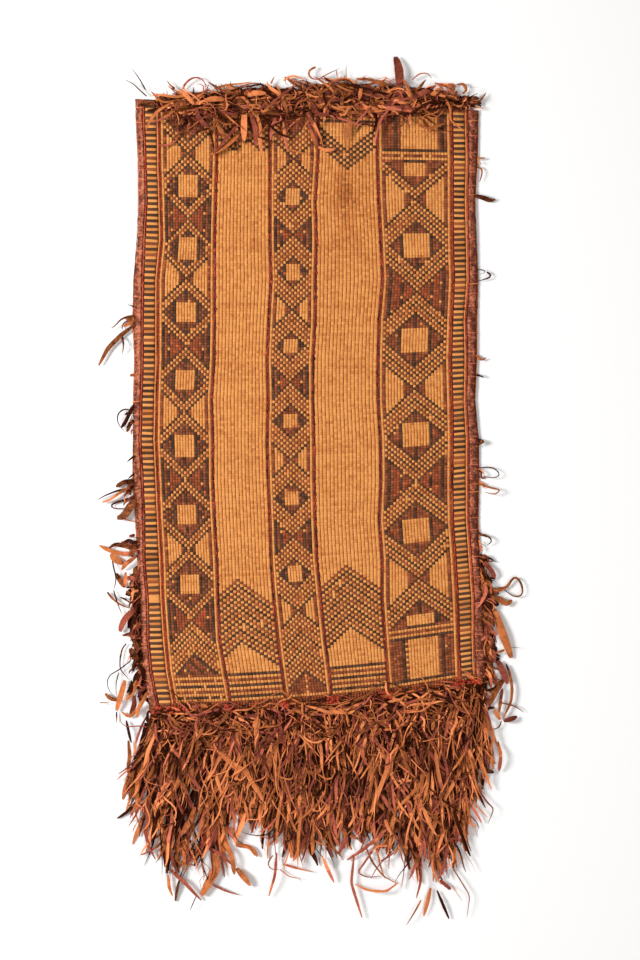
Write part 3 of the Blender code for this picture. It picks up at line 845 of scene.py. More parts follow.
class MAT_OT_ladders(bpy.types.Operator):
    """The narrow borders of black and reed rungs between pairs of red strips"""

    bl_idname = "mat.ladders"
    bl_label = "Ladder borders"

    def execute(self, context):
        side = 1.2 * MM
        weave("ladder_left_weave", 31, ("strip_1", "strip_2", side), [0.9, 0.1], ladder_left,
              first_row=-3)
        weave("ladder_right_weave", 32, ("strip_7", "strip_8", side), [0.9, 0.1], ladder_right,
              first_row=-2)
        return {"FINISHED"}


class MAT_OT_strips(bpy.types.Operator):
    """The eight red strips that part the borders, bands and fields, with their foot knots"""

    bl_idname = "mat.strips"
    bl_label = "Red strips"

    # Length of a stitch, and pieces of a foot knot.
    pitch = 5.4 * MM
    knots = 14
    # Two of the strips come out redder, and thinner by a share, from this y to the head end.
    slim_from, slim_share = 0.27, 0.72

    def execute(self, context):
        for number in range(1, 9):
            rng = random.Random(40 + number)
            column = f"strip_{number}"
            wine = number in (3, 4, 5, 6)
            # The stitches' width, the share of them that is missing, how far they stray and lean.
            wide, gaps, jitter, lean = (1.05, 0.16, 0.7, 0.2) if wine else (0.85, 0.02, 0.2, 0.06)
            wide *= context.scene.mat_sizes.strip_wide
            # Painted light: the two outer strips are made paler against the shade that the bindings
            # cast on them.
            bright = 0.18 if number in (1, 8) else 0.0
            low = 0.0 if wine else -3 / ROWS if number < 3 else -2 / ROWS
            count = int(1.04 * (1 - low) / self.pitch)
            cells = Cells()
            for x, y in zip(*mat_point(column, low + (1 - low) * (np.arange(count) + 0.5) / count)):
                if rng.random() < gaps:
                    continue
                cells.add(
                    (x + rng.gauss(0, jitter * MM), y, GROUND_TOP + 0.2 * MM),
                    (wide * rng.uniform(0.75, 1.15), self.pitch * rng.uniform(0.95, 1.2),
                     rng.uniform(1.6, 2.2) * MM),
                    (rng.gauss(0, 0.08), rng.gauss(0, 0.08), rng.gauss(0.0, lean)), 0.0,
                    rng.gauss(0.36, 0.1) + 0.5 * rumpled(x, y, 42 * MM, 7.0) + bright)
            sizes, kinds = cells.words["size"], cells.words["kind"]
            for n, spot in enumerate(cells.spots):
                slim = number in (3, 4) and spot[1] > self.slim_from
                kinds[n] = float(wine and rng.random() < (0.35 if slim else 0.9))
                if slim:
                    sizes[n] = (sizes[n][0] * self.slim_share, *sizes[n][1:])
            x, y = (float(value) for value in mat_point(column, 0.0))
            for _ in range(self.knots):
                cells.add(
                    (x + rng.gauss(0, 5.5) * MM, y - rng.uniform(6, 16) * MM, 9.5 * MM),
                    (rng.uniform(4, 9) * MM, rng.uniform(2.5, 5) * MM, rng.uniform(2, 5) * MM),
                    (rng.gauss(0, 0.3), rng.gauss(0, 0.3), rng.uniform(-1.2, 1.2)), 0.0,
                    rng.gauss(0.44, 0.06))
            cells.piece(f"red_stitched_{column}", "red_leather", (f"red_{column}",), STITCHED)
        return {"FINISHED"}


class MAT_OT_bindings(bpy.types.Operator):
    """Goatskin folded over the long edges, rumpled by wear and crossed by lacing"""

    bl_idname = "mat.bindings"
    bl_label = "Side bindings"

    # Share of the way from the outer edge to the strip, height in millimetres, and tone. The tone is
    # painted shade and light: darkest where the fold turns down at both edges and underneath, palest
    # along its top.
    section = (
        (0.0, 1.6, -0.34), (0.0, 3.2, -0.3), (0.07, 4.4, -0.22), (0.2, 5.1, -0.15),
        (0.34, 5.2, -0.1), (0.48, 5.1, 0.0), (0.62, 5.2, 0.07), (0.76, 5.3, 0.15),
        (0.88, 4.9, 0.16), (0.97, 4.2, -0.3),
        (1.0, 3.0, -0.35), (1.0, 0.2, -0.2), (0.5, 0.1, -0.2), (0.06, 0.2, -0.2),
    )
    # Side, the strip it is folded up to, which way is inwards, and tone.
    sides = (("left", "strip_1", 1, 0.4), ("right", "strip_8", -1, 0.22))

    def execute(self, context):
        stations = np.linspace(-0.014, 1.0, 520)
        for side, strip, inward, level in self.sides:
            ex, ey = mat_point(side, stations)
            sx, sy = mat_point(strip, stations)
            sx = sx - inward * 1.9 * MM
            rings, tones = [], []
            for k in range(len(stations)):
                ring = []
                for share, high, tone in self.section:
                    x, y = lerp(ex[k], sx[k], share), lerp(ey[k], sy[k], share)
                    fold = 0.6 * rumpled(x, y, 6 * MM, 1.0) + 0.45 * rumpled(x, y, 2.4 * MM, 2.0)
                    swell = rumpled(0.0, y, 12 * MM, 3.0) if share < 0.1 else 0.0
                    if high > 1.5:
                        high += fold
                    ring.append((x - inward * swell * MM, y, high * MM))
                    # Painted shade and light: the section's tone darkens the fold's edges and pales
                    # its top.
                    tones.append(level + tone + 0.5 * rumpled(x, y, 3.6 * MM, 5.0)
                                 + 0.42 * rumpled(x, y / 1.5, 9 * MM, 6.0))
                rings.append(ring)
            name = f"binding_folded_{side}"
            mesh = lofted_mesh(name, rings, "folded_binding_goatskin", smooth=True)
            give_tones(mesh, tones)
            place_piece(name, mesh, (f"binding_{side}",))
        return {"FINISHED"}


# Centre lines of the ribbons that stand out, in millimetres: hue (o orange, m brown, w wine red,
# d nearly black, partly dark leather and partly painted shade; y is pale ochre), widest width,
# then x and y of each bend.
LEAVES = {
    "foot": (
        ("m", 7, -309, -602, -306, -629, -310, -653, -305, -669),
        ("d", 7, -298, -642, -305, -676, -308, -705),
        ("o", 7, -294, -658, -294, -696, -294, -725),
        ("d", 5, -283, -714, -309, -716),
        ("w", 8, -262, -685, -278, -709, -274, -745, -280, -758, -274, -787, -262, -810),
        ("w", 7, -216, -647, -204, -658, -184, -685, -182, -714),
        ("w", 6, -238, -609, -211, -640),
        ("m", 8, -173, -607, -135, -635, -104, -656, -68, -716),
        ("o", 13, -86, -696, -106, -736, -126, -776, -122, -783),
        ("o", 3, -104, -656, -117, -669, -151, -682, -173, -689),
        ("o", 4, -115, -647, -126, -673, -124, -698, -113, -711),
        ("w", 10, -162, -734, -158, -758, -162, -787),
        ("o", 6, -140, -758, -151, -783),
        ("o", 8, -144, -778, -131, -794, -126, -816, -124, -836),
        ("m", 12, -120, -825, -108, -840, -97, -856),
        ("o", 8, -122, -785, -97, -787, -84, -805),
        ("m", 16, -158, -798, -155, -825, -171, -852, -182, -872),
        ("w", 7, -238, -827, -211, -848, -182, -881),
        ("m", 6, -240, -836, -238, -859, -232, -874),
        ("d", 2, -191, -874, -202, -899),
        ("w", 4, -162, -854, -138, -865, -115, -872),
        ("w", 6, -167, -789, -142, -803, -126, -821),
        ("w", 5, -50, -798, -53, -836, -64, -874),
        ("m", 2, -44, -827, -26, -841, -8, -841, -7, -850),
        ("w", 4, -39, -818, -15, -825, 15, -832),
        ("m", 2.5, -57, -803, -67, -816, -60, -827, -46, -827),
        ("o", 5, -229, -767, -238, -803),
        ("m", 9, -193, -718, -202, -745, -216, -767),
        ("o", 6, 29, -804, 50, -850),
        ("w", 13, 38, -696, 45, -743, 55, -785),
        ("w", 5, 85, -801, 80, -850, 99, -911),
        ("o", 8, 160, -616, 136, -668, 104, -759),
        ("o", 9, 179, -611, 209, -654),
        ("o", 6, 151, -670, 186, -672),
        ("o", 6, 272, -654, 244, -700, 237, -733),
        ("m", 3, 45, -703, 69, -715, 104, -700),
        ("o", 5, 87, -853, 108, -862, 141, -864, 162, -850),
        ("m", 4, 122, -780, 132, -825, 139, -844),
        ("m", 3.5, 106, -789, 116, -813, 136, -839, 162, -853),
        ("w", 4, 122, -787, 101, -818, 90, -832, 108, -841, 132, -839),
        ("m", 3, 202, -881, 176, -925),
        ("o", 8, 219, -860, 207, -909),
        ("d", 5, 230, -864, 251, -914),
        ("m", 2.5, 256, -822, 272, -848, 287, -872, 282, -911),
        ("m", 1.5, 256, -855, 275, -883),
        ("w", 6, 235, -846, 254, -862),
        ("o", 5, 249, -729, 272, -733, 298, -754),
        ("w", 8, 244, -775, 279, -775),
        ("w", 3.5, 303, -689, 319, -712, 329, -719, 319, -747),
        ("m", 6, 336, -604, 341, -628, 338, -656),
        ("d", 9, 303, -649, 329, -658),
        ("o", 7, 275, -700, 279, -733),
        ("m", 6, 261, -787, 258, -818),
        ("m", 5, 279, -752, 284, -766, 268, -764),
        ("w", 8, 83, -752, 57, -801),
        ("w", 6, 73, -811, 104, -789, 141, -757),
        ("o", 9, 179, -752, 212, -806),
        ("w", 4, 132, -813, 169, -785),
    ),
    "head_out": (
        ("d", 2.5, -277, 523, -288, 532, -301, 545, -315, 552),
        ("d", 2.5, -279, 534, -290, 554, -303, 571),
        ("m", 3.5, -228, 536, -237, 543, -242, 551),
        ("w", 4, -214, 536, -212, 543, -199, 554, -188, 556, -179, 552, -171, 538),
        ("m", 3, -60, 545, -54, 558),
        ("o", 4, -38, 550, -31, 556, -18, 558, -2, 552),
        ("m", 4.5, 18, 574, 7, 569, 4, 559, 11, 552, 24, 552),
        ("w", 16, 165, 536, 164, 556, 162, 574, 157, 592),
        ("d", 1.5, 71, 552, 71, 579),
        ("m", 2, 22, 552, 38, 561, 61, 572),
        ("m", 2, 54, 568, 56, 550),
        ("m", 2.5, 187, 552, 198, 562, 214, 563, 221, 554),
        ("m", 6, 265, 543, 277, 545, 282, 532, 274, 527),
        ("o", 6, 283, 519, 303, 516),
        ("m", 4, 303, 512, 316, 530),
        ("m", 3, 295, 503, 312, 502),
        ("m", 7, 226, 546, 245, 541, 261, 545, 261, 536, 243, 527),
        ("m", 4, -159, 536, -138, 542, -114, 544, -93, 548),
        ("m", 4, -114, 539, -93, 546, -72, 544),
        ("m", 5, 44, 546, 65, 553, 82, 548),
        ("m", 5, 89, 553, 110, 553, 131, 542),
    ),
    "head_over": (
        ("o", 8, -219, 534, -205, 521, -192, 505),
        ("w", 8, -192, 505, -185, 481, -167, 465),
        ("o", 10, -217, 516, -212, 503, -219, 494),
        ("o", 5, -234, 510, -257, 496, -270, 481, -278, 463),
        ("m", 5, -221, 503, -248, 481, -268, 476),
        ("o", 9, -141, 516, -159, 517, -177, 514),
        ("o", 9, -103, 521, -89, 527, -69, 527),
        ("o", 11, -106, 498, -107, 472, -107, 445),
        ("w", 8, -96, 494, -87, 463, -87, 436),
        ("o", 7, -87, 494, -79, 472, -79, 440, -75, 418),
        ("o", 6, -38, 481, -36, 454, -31, 427),
        ("m", 3, -34, 431, -5, 422, 20, 414),
        ("w", 6, -110, 481, -127, 460, -161, 420),
        ("m", 9, -116, 456, -138, 436, -167, 420),
        ("d", 4, -167, 463, -159, 436, -160, 420),
        ("m", 7, -154, 472, -136, 445),
        ("d", 5, -190, 458, -167, 465),
        ("o", 9, -80, 494, -58, 495, -34, 494),
        ("w", 7, -98, 510, -47, 503, -27, 487),
        ("d", 4, -80, 487, -26, 486, 24, 487),
        ("o", 7, -45, 530, -34, 498, -27, 481),
        ("w", 5, 4, 476, 13, 449, 20, 427),
        ("o", 7, 172, 550, 181, 530, 192, 510),
        ("w", 9, 123, 489, 147, 512, 178, 516),
        ("w", 9, 178, 516, 210, 530, 228, 541),
        ("o", 6, 98, 514, 118, 485),
        ("o", 6, 98, 541, 94, 516),
        ("o", 6, 109, 505, 143, 501, 178, 496),
        ("m", 5.5, 194, 481, 201, 469, 219, 465, 241, 474),
        ("m", 4, 198, 510, 210, 494, 232, 485),
        ("o", 4, 245, 516, 253, 498, 251, 478, 261, 472, 277, 460),
        ("m", 8, 76, 512, 78, 481, 71, 445),
        ("d", 4, 31, 536, 33, 512, 47, 489, 62, 476),
        ("w", 9, 9, 512, 20, 489, 40, 489, 36, 507),
        ("o", 7, 22, 434, 33, 427, 51, 429),
        ("w", 6, 9, 481, 18, 449, 22, 431),
        ("m", 7, 51, 538, 76, 545),
        ("m", 9, 120, 547, 143, 541),
    ),
    "left": (
        ("m", 8, -298, 124, -321, 107, -345, 83, -361, 53),
        ("m", 4, -299, 140, -314, 137, -324, 132, -331, 122, -340, 118),
        ("m", 4, -321, 105, -317, 92, -318, 80, -321, 72),
        ("m", 4, -301, 135, -313, 130, -320, 125, -320, 115),
        ("d", 2, -299, 156, -308, 158, -311, 162),
        ("m", 5, -296, 38, -307, 35),
        ("d", 2.5, -308, -24, -314, -22, -327, -29, -329, -44, -323, -55, -313, -65),
        ("d", 7, -299, -15, -308, -33, -315, -49, -322, -56),
        ("m", 6, -301, -42, -312, -63),
        ("d", 4, -299, -105, -312, -116),
        ("d", 4, -299, -136, -310, -145),
        ("m", 8, -298, -149, -316, -150, -331, -159),
        ("d", 4, -306, -161, -330, -166, -350, -174, -364, -182),
        ("o", 6, -303, -156, -324, -169, -340, -181, -356, -186),
        ("d", 4, -298, -177, -313, -181, -330, -186, -342, -191, -335, -198, -316, -196),
        ("m", 15, -298, -181, -309, -198, -318, -211, -329, -213),
        ("m", 3, -318, -214, -306, -218, -294, -221),
        ("w", 6, -298, -243, -308, -246),
        ("w", 8, -322, -256, -298, -266),
        ("m", 8, -298, -268, -320, -261, -333, -259, -343, -266),
        ("o", 7, -298, -276, -321, -276, -343, -270, -360, -261),
        ("o", 12, -340, -276, -333, -285, -318, -293),
        ("o", 8, -296, -281, -313, -293, -321, -304),
        ("d", 3, -337, -288, -335, -300, -331, -311, -330, -321, -335, -340),
        ("m", 9, -331, -310, -316, -335),
        ("o", 6, -314, -308, -314, -335),
        ("d", 3, -313, -335, -294, -333),
        ("m", 4.5, -346, -343, -336, -355, -323, -365, -308, -371),
        ("m", 5, -313, -341, -304, -346, -293, -348),
        ("d", 3.5, -323, -352, -311, -356, -308, -361, -294, -360),
        ("w", 11, -296, -370, -313, -386, -321, -401, -324, -412),
        ("d", 2.5, -335, -340, -328, -363, -320, -383),
        ("d", 6, -292, -378, -301, -396, -306, -413),
        ("o", 5, -292, -396, -304, -410),
        ("m", 2.5, -319, -419, -290, -417),
        ("m", 8, -304, -420, -292, -441),
        ("m", 3, -313, -433, -320, -440, -324, -460, -324, -478, -306, -498),
        ("m", 12, -306, -441, -290, -466),
        ("d", 2.2, -306, -463, -323, -477, -343, -488, -347, -503, -340, -520, -328, -528),
        ("d", 1.8, -326, -483, -331, -503, -330, -524),
        ("o", 10, -315, -497, -321, -520, -330, -550),
        ("d", 6, -304, -497, -303, -516, -310, -527),
        ("o", 9, -289, -494, -296, -500, -301, -517, -313, -532),
        ("m", 7, -350, -520, -341, -528, -324, -532),
        ("m", 2, -359, -536, -340, -534),
        ("d", 3, -330, -552, -330, -573),
        ("w", 9, -299, -524, -298, -540, -306, -557),
        ("o", 6, -285, -540, -308, -562, -321, -552),
        ("d", 5, -313, -567, -308, -587, -304, -606),
    ),
    "right": (
        ("o", 4, 300, 414, 315, 416),
        ("m", 3.5, 300, 400, 308, 398, 309, 389, 304, 373),
        ("m", 9, 296, 349, 310, 346, 324, 339, 332, 343),
        ("m", 2, 300, 220, 310, 220, 315, 215, 305, 212),
        ("d", 3.5, 317, 216, 325, 212, 324, 207, 301, 200),
        ("o", 5, 298, 72, 307, 62, 317, 67),
        ("d", 4.5, 299, 37, 312, 32),
        ("d", 5, 296, -75, 313, -80, 298, -88),
        ("d", 2.5, 303, -126, 322, -124, 336, -130, 340, -140, 327, -144, 310, -140),
        ("m", 3.5, 303, -154, 324, -161, 341, -164, 331, -173, 313, -168),
        ("m", 4, 303, -242, 320, -245, 327, -254, 317, -261),
        ("m", 5, 336, -336, 351, -336, 363, -317, 369, -316, 378, -329, 380, -348, 365, -352,
         346, -338),
        ("m", 10, 322, -350, 340, -355, 351, -365, 361, -357),
        ("w", 8, 313, -290, 327, -308, 331, -319),
        ("m", 5, 310, -312, 327, -338, 336, -342, 351, -336),
        ("o", 14, 331, -374, 342, -410, 352, -436, 360, -458),
        ("m", 5, 315, -386, 327, -408, 334, -431),
        ("m", 7, 313, -428, 323, -448, 321, -475),
        ("o", 5, 348, -444, 327, -450),
        ("w", 12, 336, -462, 351, -496, 353, -503),
        ("m", 5.5, 351, -469, 357, -486, 361, -511, 359, -534, 346, -562),
        ("m", 12, 346, -496, 331, -515, 321, -540),
        ("w", 6, 344, -511, 338, -553),
        ("o", 8, 331, -549, 340, -566),
        ("w", 9, 346, -568, 370, -560),
        ("m", 3, 342, -536, 365, -541, 382, -553),
        ("m", 2.5, 342, -568, 340, -579, 327, -583, 308, -581),
        ("d", 1, 360, -440, 375, -439),
    ),
}
HUES = {"y": (0.0, 0.84), "o": (0.0, 0.6), "m": (0.0, 0.35), "w": (1.0, 0.46), "d": (0.0, 0.06)}


def taper(shape, t):
    """Share of its widest width that a ribbon has at share t of its length."""
    if shape == "blade":
        return max(0.3, math.sin(math.pi * (0.04 + 0.93 * t)) ** 0.35)
    if shape == "leaf":
        return max(0.32, math.sin(math.pi * (0.06 + 0.91 * t)) ** 0.45)
    if shape == "strap":
        return min(1.0, 0.5 + 3.5 * t, 0.3 + 5 * (1 - t))
    return min(1.0, 0.6 + 2 * t) * (1 - t) ** 0.6 + 0.14


class RibbonBatch:
    """Lines of leather ribbons, gathered for one piece."""

    floor_gap = 0.25 * MM
    ceiling = 26.5 * MM
    # Ribbons narrower than this have ragged edges, and some of them change to the other leather, a
    # little paler, part-way, as if folded over.
    narrow = 7 * MM

    def __init__(self, seed):
        self.rng = random.Random(seed)
        self.points, self.edges = [], []
        self.words = {"wide": [], "twist": [], "tone": [], "kind": []}

    def add(self, path, wide, hue, twist=0.0, spin=0.0, root_shade=0.2, shape="leaf"):
        """A ribbon along a path of points. hue is its kind of leather and its tone, and towards its
        root it is darkened by painted shade. It is raised where its width stands on edge, so that
        none of it passes under the floor."""
        start = len(self.points)
        kind, tone = hue
        rng = self.rng
        fade = rng.gauss(0, 0.1)
        folded_at = rng.uniform(0.35, 0.75) if wide < self.narrow and rng.random() < 0.2 else 2.0
        twist += math.pi if rng.random() < 0.35 else 0.0
        for j, (x, y, z) in enumerate(path):
            t = j / (len(path) - 1)
            ragged = 0.14 if wide < self.narrow else 0.04
            width = wide * taper(shape, t) * rng.uniform(1 - ragged, 1 + ragged)
            turn = twist + spin * t
            reach = abs(math.sin(turn)) * width / 2 + 0.09 * width + self.floor_gap
            self.points.append((x, y, max(reach, min(z, self.ceiling - reach))))
            self.words["wide"].append(width)
            self.words["twist"].append(turn)
            turned = t > folded_at
            # Painted shade darkens the tone towards the root.
            self.words["tone"].append(
                tone - root_shade * (1 - t) ** 2 + fade * t + rng.gauss(0, 0.045) + 0.08 * turned)
            self.words["kind"].append(1.0 - kind if turned else kind)
            if j:
                self.edges.append((start + j - 1, start + j))

    def add_leaves(self, group, level, lift, dim=0.0):
        """The ribbons of a group that stand out, along their own lines. dim makes them darker."""
        rng = self.rng
        for letter, wide, *line in LEAVES[group]:
            corners = np.array(line, float).reshape(-1, 2) * MM
            runs = np.concatenate([[0], np.cumsum(np.hypot(*np.diff(corners, axis=0).T))])
            steps = int(min(22, max(7, runs[-1] / (6 * MM))))
            t = np.linspace(0, 1, steps + 1)
            x, y = (np.interp(t * runs[-1], runs, corners[:, k]) for k in (0, 1))
            for line in (x, y):
                line[1:-1] = (line[:-2] + 2 * line[1:-1] + line[2:]) / 4
            z = (level + lift * rng.random() * np.sin(np.pi * t) + rng.uniform(-1, 2)) * MM
            kind, tone = HUES[letter]
            shape = "blade" if wide > 9 else "leaf" if wide > 4.9 and rng.random() < 0.7 else (
                "strap" if wide > 5 else "tail")
            self.add(list(zip(x, y, z)), wide * MM, (kind, tone - dim + rng.gauss(0, 0.07)),
                     rng.gauss(0, 0.15), rng.gauss(0, 0.3), 0.08, shape)

    def piece(self, name, slot, replaced=()):
        """Makes the piece of all its ribbons."""
        sizes = bpy.context.scene.mat_sizes
        carrier = carrier_mesh(name, self.points, self.edges, self.words)
        mesh = grown_mesh(name, carrier, ribbon_tree(), {
            "Cup": sizes.ribbon_cup, "Thickness": sizes.ribbon_thick})
        return place_piece(name, mesh, replaced)


def free_path(rng, root, heading, length, bend, curl, level, lift, steps):
    """A ribbon's path that sets off in a heading, in radians, then bends and curls as it goes."""
    x, y = root
    step = length / steps
    freq = rng.uniform(0.6, 1.8)
    phase = rng.uniform(0, 2 * math.pi)
    arch_at = rng.uniform(0.3, 0.8)
    path = []
    for j in range(steps + 1):
        t = j / steps
        path.append((x, y, level + lift * math.exp(-((t - arch_at) / 0.3) ** 2)))
        angle = heading + bend * t + curl * math.sin(2 * math.pi * freq * t + phase)
        x += step * math.cos(angle)
        y += step * math.sin(angle)
    return path


# Foot fringe: where it ends, in millimetres, by place along the band.
FOOT_TIPS = (
    (0.00, -305, -690), (0.05, -292, -770), (0.10, -262, -830), (0.16, -222, -862),
    (0.21, -176, -850), (0.26, -152, -780), (0.30, -132, -735), (0.36, -90, -742),
    (0.40, -70, -790), (0.46, -24, -812), (0.54, 30, -806), (0.58, 60, -800), (0.62, 92, -775),
    (0.66, 115, -768), (0.72, 150, -815), (0.80, 200, -866), (0.86, 240, -862), (0.91, 262, -815),
    (0.95, 280, -768), (0.98, 298, -710), (1.00, 318, -640),
)
# Its ribbons stay between these x, in metres.
FRINGE_SIDES = (-0.332, 0.335)


def foot_root(place, drop):
    """A point along the foot band, drop below the last row."""
    edge = np.array(FOOT_EDGE, float) * MM
    x = lerp(column_x("left", -0.53), column_x("right", -0.485), place)
    return float(x), float(np.interp(x, edge[:, 0], edge[:, 1]) - drop)


def foot_tip(place):
    """Where the foot fringe ends at a place along the band."""
    table = np.array(FOOT_TIPS, float)
    return (float(np.interp(place, table[:, 0], table[:, 1])) * MM,
            float(np.interp(place, table[:, 0], table[:, 2])) * MM)


def strays(path):
    """Whether a ribbon of the foot fringe would stick out past the fringe's sides."""
    left, right = FRINGE_SIDES
    return not all(left <= point[0] <= right for point in path)


def ribbon_hue(rng, bright=0.0):
    """Most ribbons are mid brown or orange tan, some are wine red and some nearly black, which stand
    partly for dark leather and partly for painted shade between the others.
    """
    letter = rng.choices("yomwd", weights=(0.07, 0.22 + bright, 0.24, 0.27, 0.2 - bright / 2))[0]
    kind, tone = HUES[letter]
    return kind, tone + rng.gauss(0, 0.12)


def painted_shade_sheet(name, near, far, low, high):
    """A nearly black sheet with a ragged edge under the ribbons, painted shade that fills the gaps
    between them; its shape is that of the uncut part of the skin that they are cut from. near and
    far are its edges, and low and high its two heights in millimetres."""
    rings = [((*inner, high * MM), (*outer, high * MM), (*outer, low * MM), (*inner, low * MM))
             for inner, outer in zip(near, far)]
    mesh = lofted_mesh(name, rings, "cut_ribbon_goatskin")
    give_tones(mesh, [0.0] * 4 * len(rings))
    return place_piece(name, mesh)


def ribbon_shape(rng):
    """An outline for a ribbon, drawn by how common it is."""
    return rng.choices(("leaf", "strap", "tail"), weights=(0.48, 0.4, 0.12))[0]


class MAT_OT_foot_fringe(bpy.types.Operator):
    """The long cut fringe that grows from the foot band"""

    bl_idname = "mat.foot_fringe"
    bl_label = "Foot fringe"

    # Name, share of the ribbons, how far down they start, shortest and longest length, spread of
    #     their headings, level and lift, how much painted shade darkens the roots, and widths in
    #     millimetres.
    layers = (
        ("long", 0.30, 0.66, 70, 150, 0.14, 1.2, 3.0, 0.6, (5.5, 7.5, 10)),
        ("middle", 0.38, 0.80, 40, 120, 0.26, 4.5, 6.0, 0.5, (2.2, 3, 4.2, 5.5, 7)),
        ("upper", 0.32, 0.85, 26, 105, 0.38, 8.5, 9.0, 0.28, (2, 2.8, 3.6, 4.8, 6.5)),
    )

    # Short ribbons that lie crosswise over the roots.
    tangled = 620

    def execute(self, context):
        total = context.scene.mat_sizes.foot_ribbons
        for number, layer in enumerate(self.layers):
            word, share, lowest, short, full, spread, level, lift, root_shade, widths = layer
            batch = RibbonBatch(60 + number)
            rng = batch.rng
            count = int(total * share)
            for i in range(count):
                place = (i + rng.random()) / count
                root, tip = foot_root(place, rng.uniform(11, 17) * MM), foot_tip(place)
                depth = lowest * rng.random() ** 0.9
                if place < 0.2 and depth > 0.35 and rng.random() < 0.35:
                    continue
                run = math.hypot(tip[0] - root[0], tip[1] - root[1])
                start = (lerp(root[0], tip[0], depth) + rng.gauss(0, 2) * MM,
                         lerp(root[1], tip[1], depth))
                rest = max(0.1, rng.uniform(0.93, 1.09) - depth)
                length = min(rng.uniform(short, full) * MM, run * rest)
                heading = math.atan2(tip[1] - root[1], tip[0] - root[0]) + rng.gauss(0, spread)
                curly = rng.random() < 0.14 * number
                path = free_path(
                    rng, start, heading, length, rng.gauss(0, 1.3 if curly else 0.28),
                    rng.uniform(0.4, 1.0) if curly else rng.uniform(0.0, 0.22),
                    (level + rng.uniform(-0.6, 3.0)) * MM, lift * rng.random() * MM,
                    int(6 + length / (16 * MM)))
                if strays(path):
                    continue
                wide = rng.choice(widths) * MM * (0.6 if curly else 1.0)
                # Painted shade: most ribbons of the lowest layer are nearly black, and the lower a
                # layer, the fewer orange and the more nearly black ribbons it has.
                hue = (float(rng.random() < 0.4), rng.gauss(-0.02, 0.06)) if number == 0 and (
                    rng.random() < 1.0 - depth) else ribbon_hue(rng, 0.06 * number)
                batch.add(path, wide, hue, rng.gauss(0, 0.3), rng.gauss(0, 0.8), root_shade,
                          ribbon_shape(rng))
            if word == "upper":
                batch.add_leaves("foot", 6.0, 8.0)
            replaced = ("foot_fringe",) if number == 0 else ()
            batch.piece(f"foot_fringe_{word}", "tan_leather", replaced)

        batch = RibbonBatch(70)
        rng = batch.rng
        for _ in range(self.tangled):
            place = rng.random()
            root = foot_root(place, (9 + 60 * rng.random() ** 1.4) * MM)
            sideways = rng.random() < 0.45
            heading = rng.choice((0.0, math.pi)) + rng.gauss(-0.1, 0.35) if sideways else (
                -math.pi / 2 + rng.gauss(0, 0.7))
            length = rng.uniform(18, 75) * MM
            outward = math.cos(heading)
            if (place < 0.1 and outward < -0.5) or (place > 0.9 and outward > 0.5):
                length *= 0.35
            path = free_path(rng, root, heading, length, rng.gauss(0, 0.55),
                             rng.uniform(0.05, 0.5), rng.uniform(6, 14) * MM,
                             rng.uniform(0, 6) * MM, 10)
            path = [point for point in path if point[1] < foot_root(0.0, 0.0)[1] + 0.06]
            if len(path) > 4 and not strays(path):
                kind, tone = ribbon_hue(rng, -0.02)
                batch.add(path, rng.choice((1.8, 2.6, 3.6, 5.0)) * MM, (kind, tone - 0.08),
                          rng.gauss(0, 0.5), rng.gauss(0, 1.0), 0.1, ribbon_shape(rng))
        batch.piece("foot_fringe_tangle", "tan_leather")

        # A nearly black sheet under the foot fringe: painted shade in the gaps between its ribbons.
        places = np.linspace(0.01, 0.99, 230)
        near = [foot_root(place, 8 * MM) for place in places]
        far = []
        for place, (x, y) in zip(places, near):
            tip = foot_tip(place)
            reach = 0.62 - 0.25 * (place < 0.2)
            share = reach + 0.2 * rumpled(x, 0.0, 30 * MM, 4.0) + rng.uniform(-0.14, 0.14)
            far.append((lerp(x, tip[0], share), lerp(y, tip[1], share)))
        painted_shade_sheet("foot_skin", near, far, 0.4, 1.2)
        return {"FINISHED"}


class MAT_OT_foot_band(bpy.types.Operator):
    """Rows of brown leather woven under the last reed"""

    bl_idname = "mat.foot_band"
    bl_label = "Foot band"

    def execute(self, context):
        rng = random.Random(77)
        cells = Cells()
        count = 118
        for row, drop in enumerate((2.6, 6.6, 10.6, 14.4)):
            for i in range(count):
                x, y = foot_root((i + 0.5) / count, drop * MM)
                cells.add(
                    (x, y, 0.9 * MM),
                    (4.9 * MM * rng.uniform(0.85, 1.05), 3.9 * MM, rng.uniform(3.6, 4.8) * MM),
                    (rng.gauss(0, 0.04), rng.gauss(0, 0.04), rng.gauss(0.08, 0.1)),
                    BLACK if (i + row) % 7 == 0 else BROWN if (i + row) % 3 == 0 else RUSSET,
                    rng.gauss(0.4, 0.12))
        cells.piece("foot_band_weave", "tan_leather")
        return {"FINISHED"}


# The head tangle's lower and upper line, in millimetres from the last row, by place along the band.
HEAD_TANGLE = (
    (0.06, -14, 5), (0.10, -26, 9), (0.17, -36, 15), (0.35, -30, 30), (0.50, -24, 41),
    (0.57, -18, 43), (0.61, 2, 43), (0.67, 2, 43), (0.72, -16, 43), (0.78, -22, 42),
    (0.84, -12, 41), (0.90, -4, 38), (0.97, -2, 28), (1.00, -2, 12),
)


def head_root(place, rise):
    """A point along the head band, rise above the last row."""
    (x0, y0), (x1, y1) = HEAD_EDGE
    return lerp(x0, x1, place) * MM, lerp(y0, y1, place) * MM + rise


def tangle_edges(place):
    """The tangle's lower and upper line at a place, in millimetres."""
    places, low, high = zip(*HEAD_TANGLE)
    return float(np.interp(place, places, low)), float(np.interp(place, places, high))


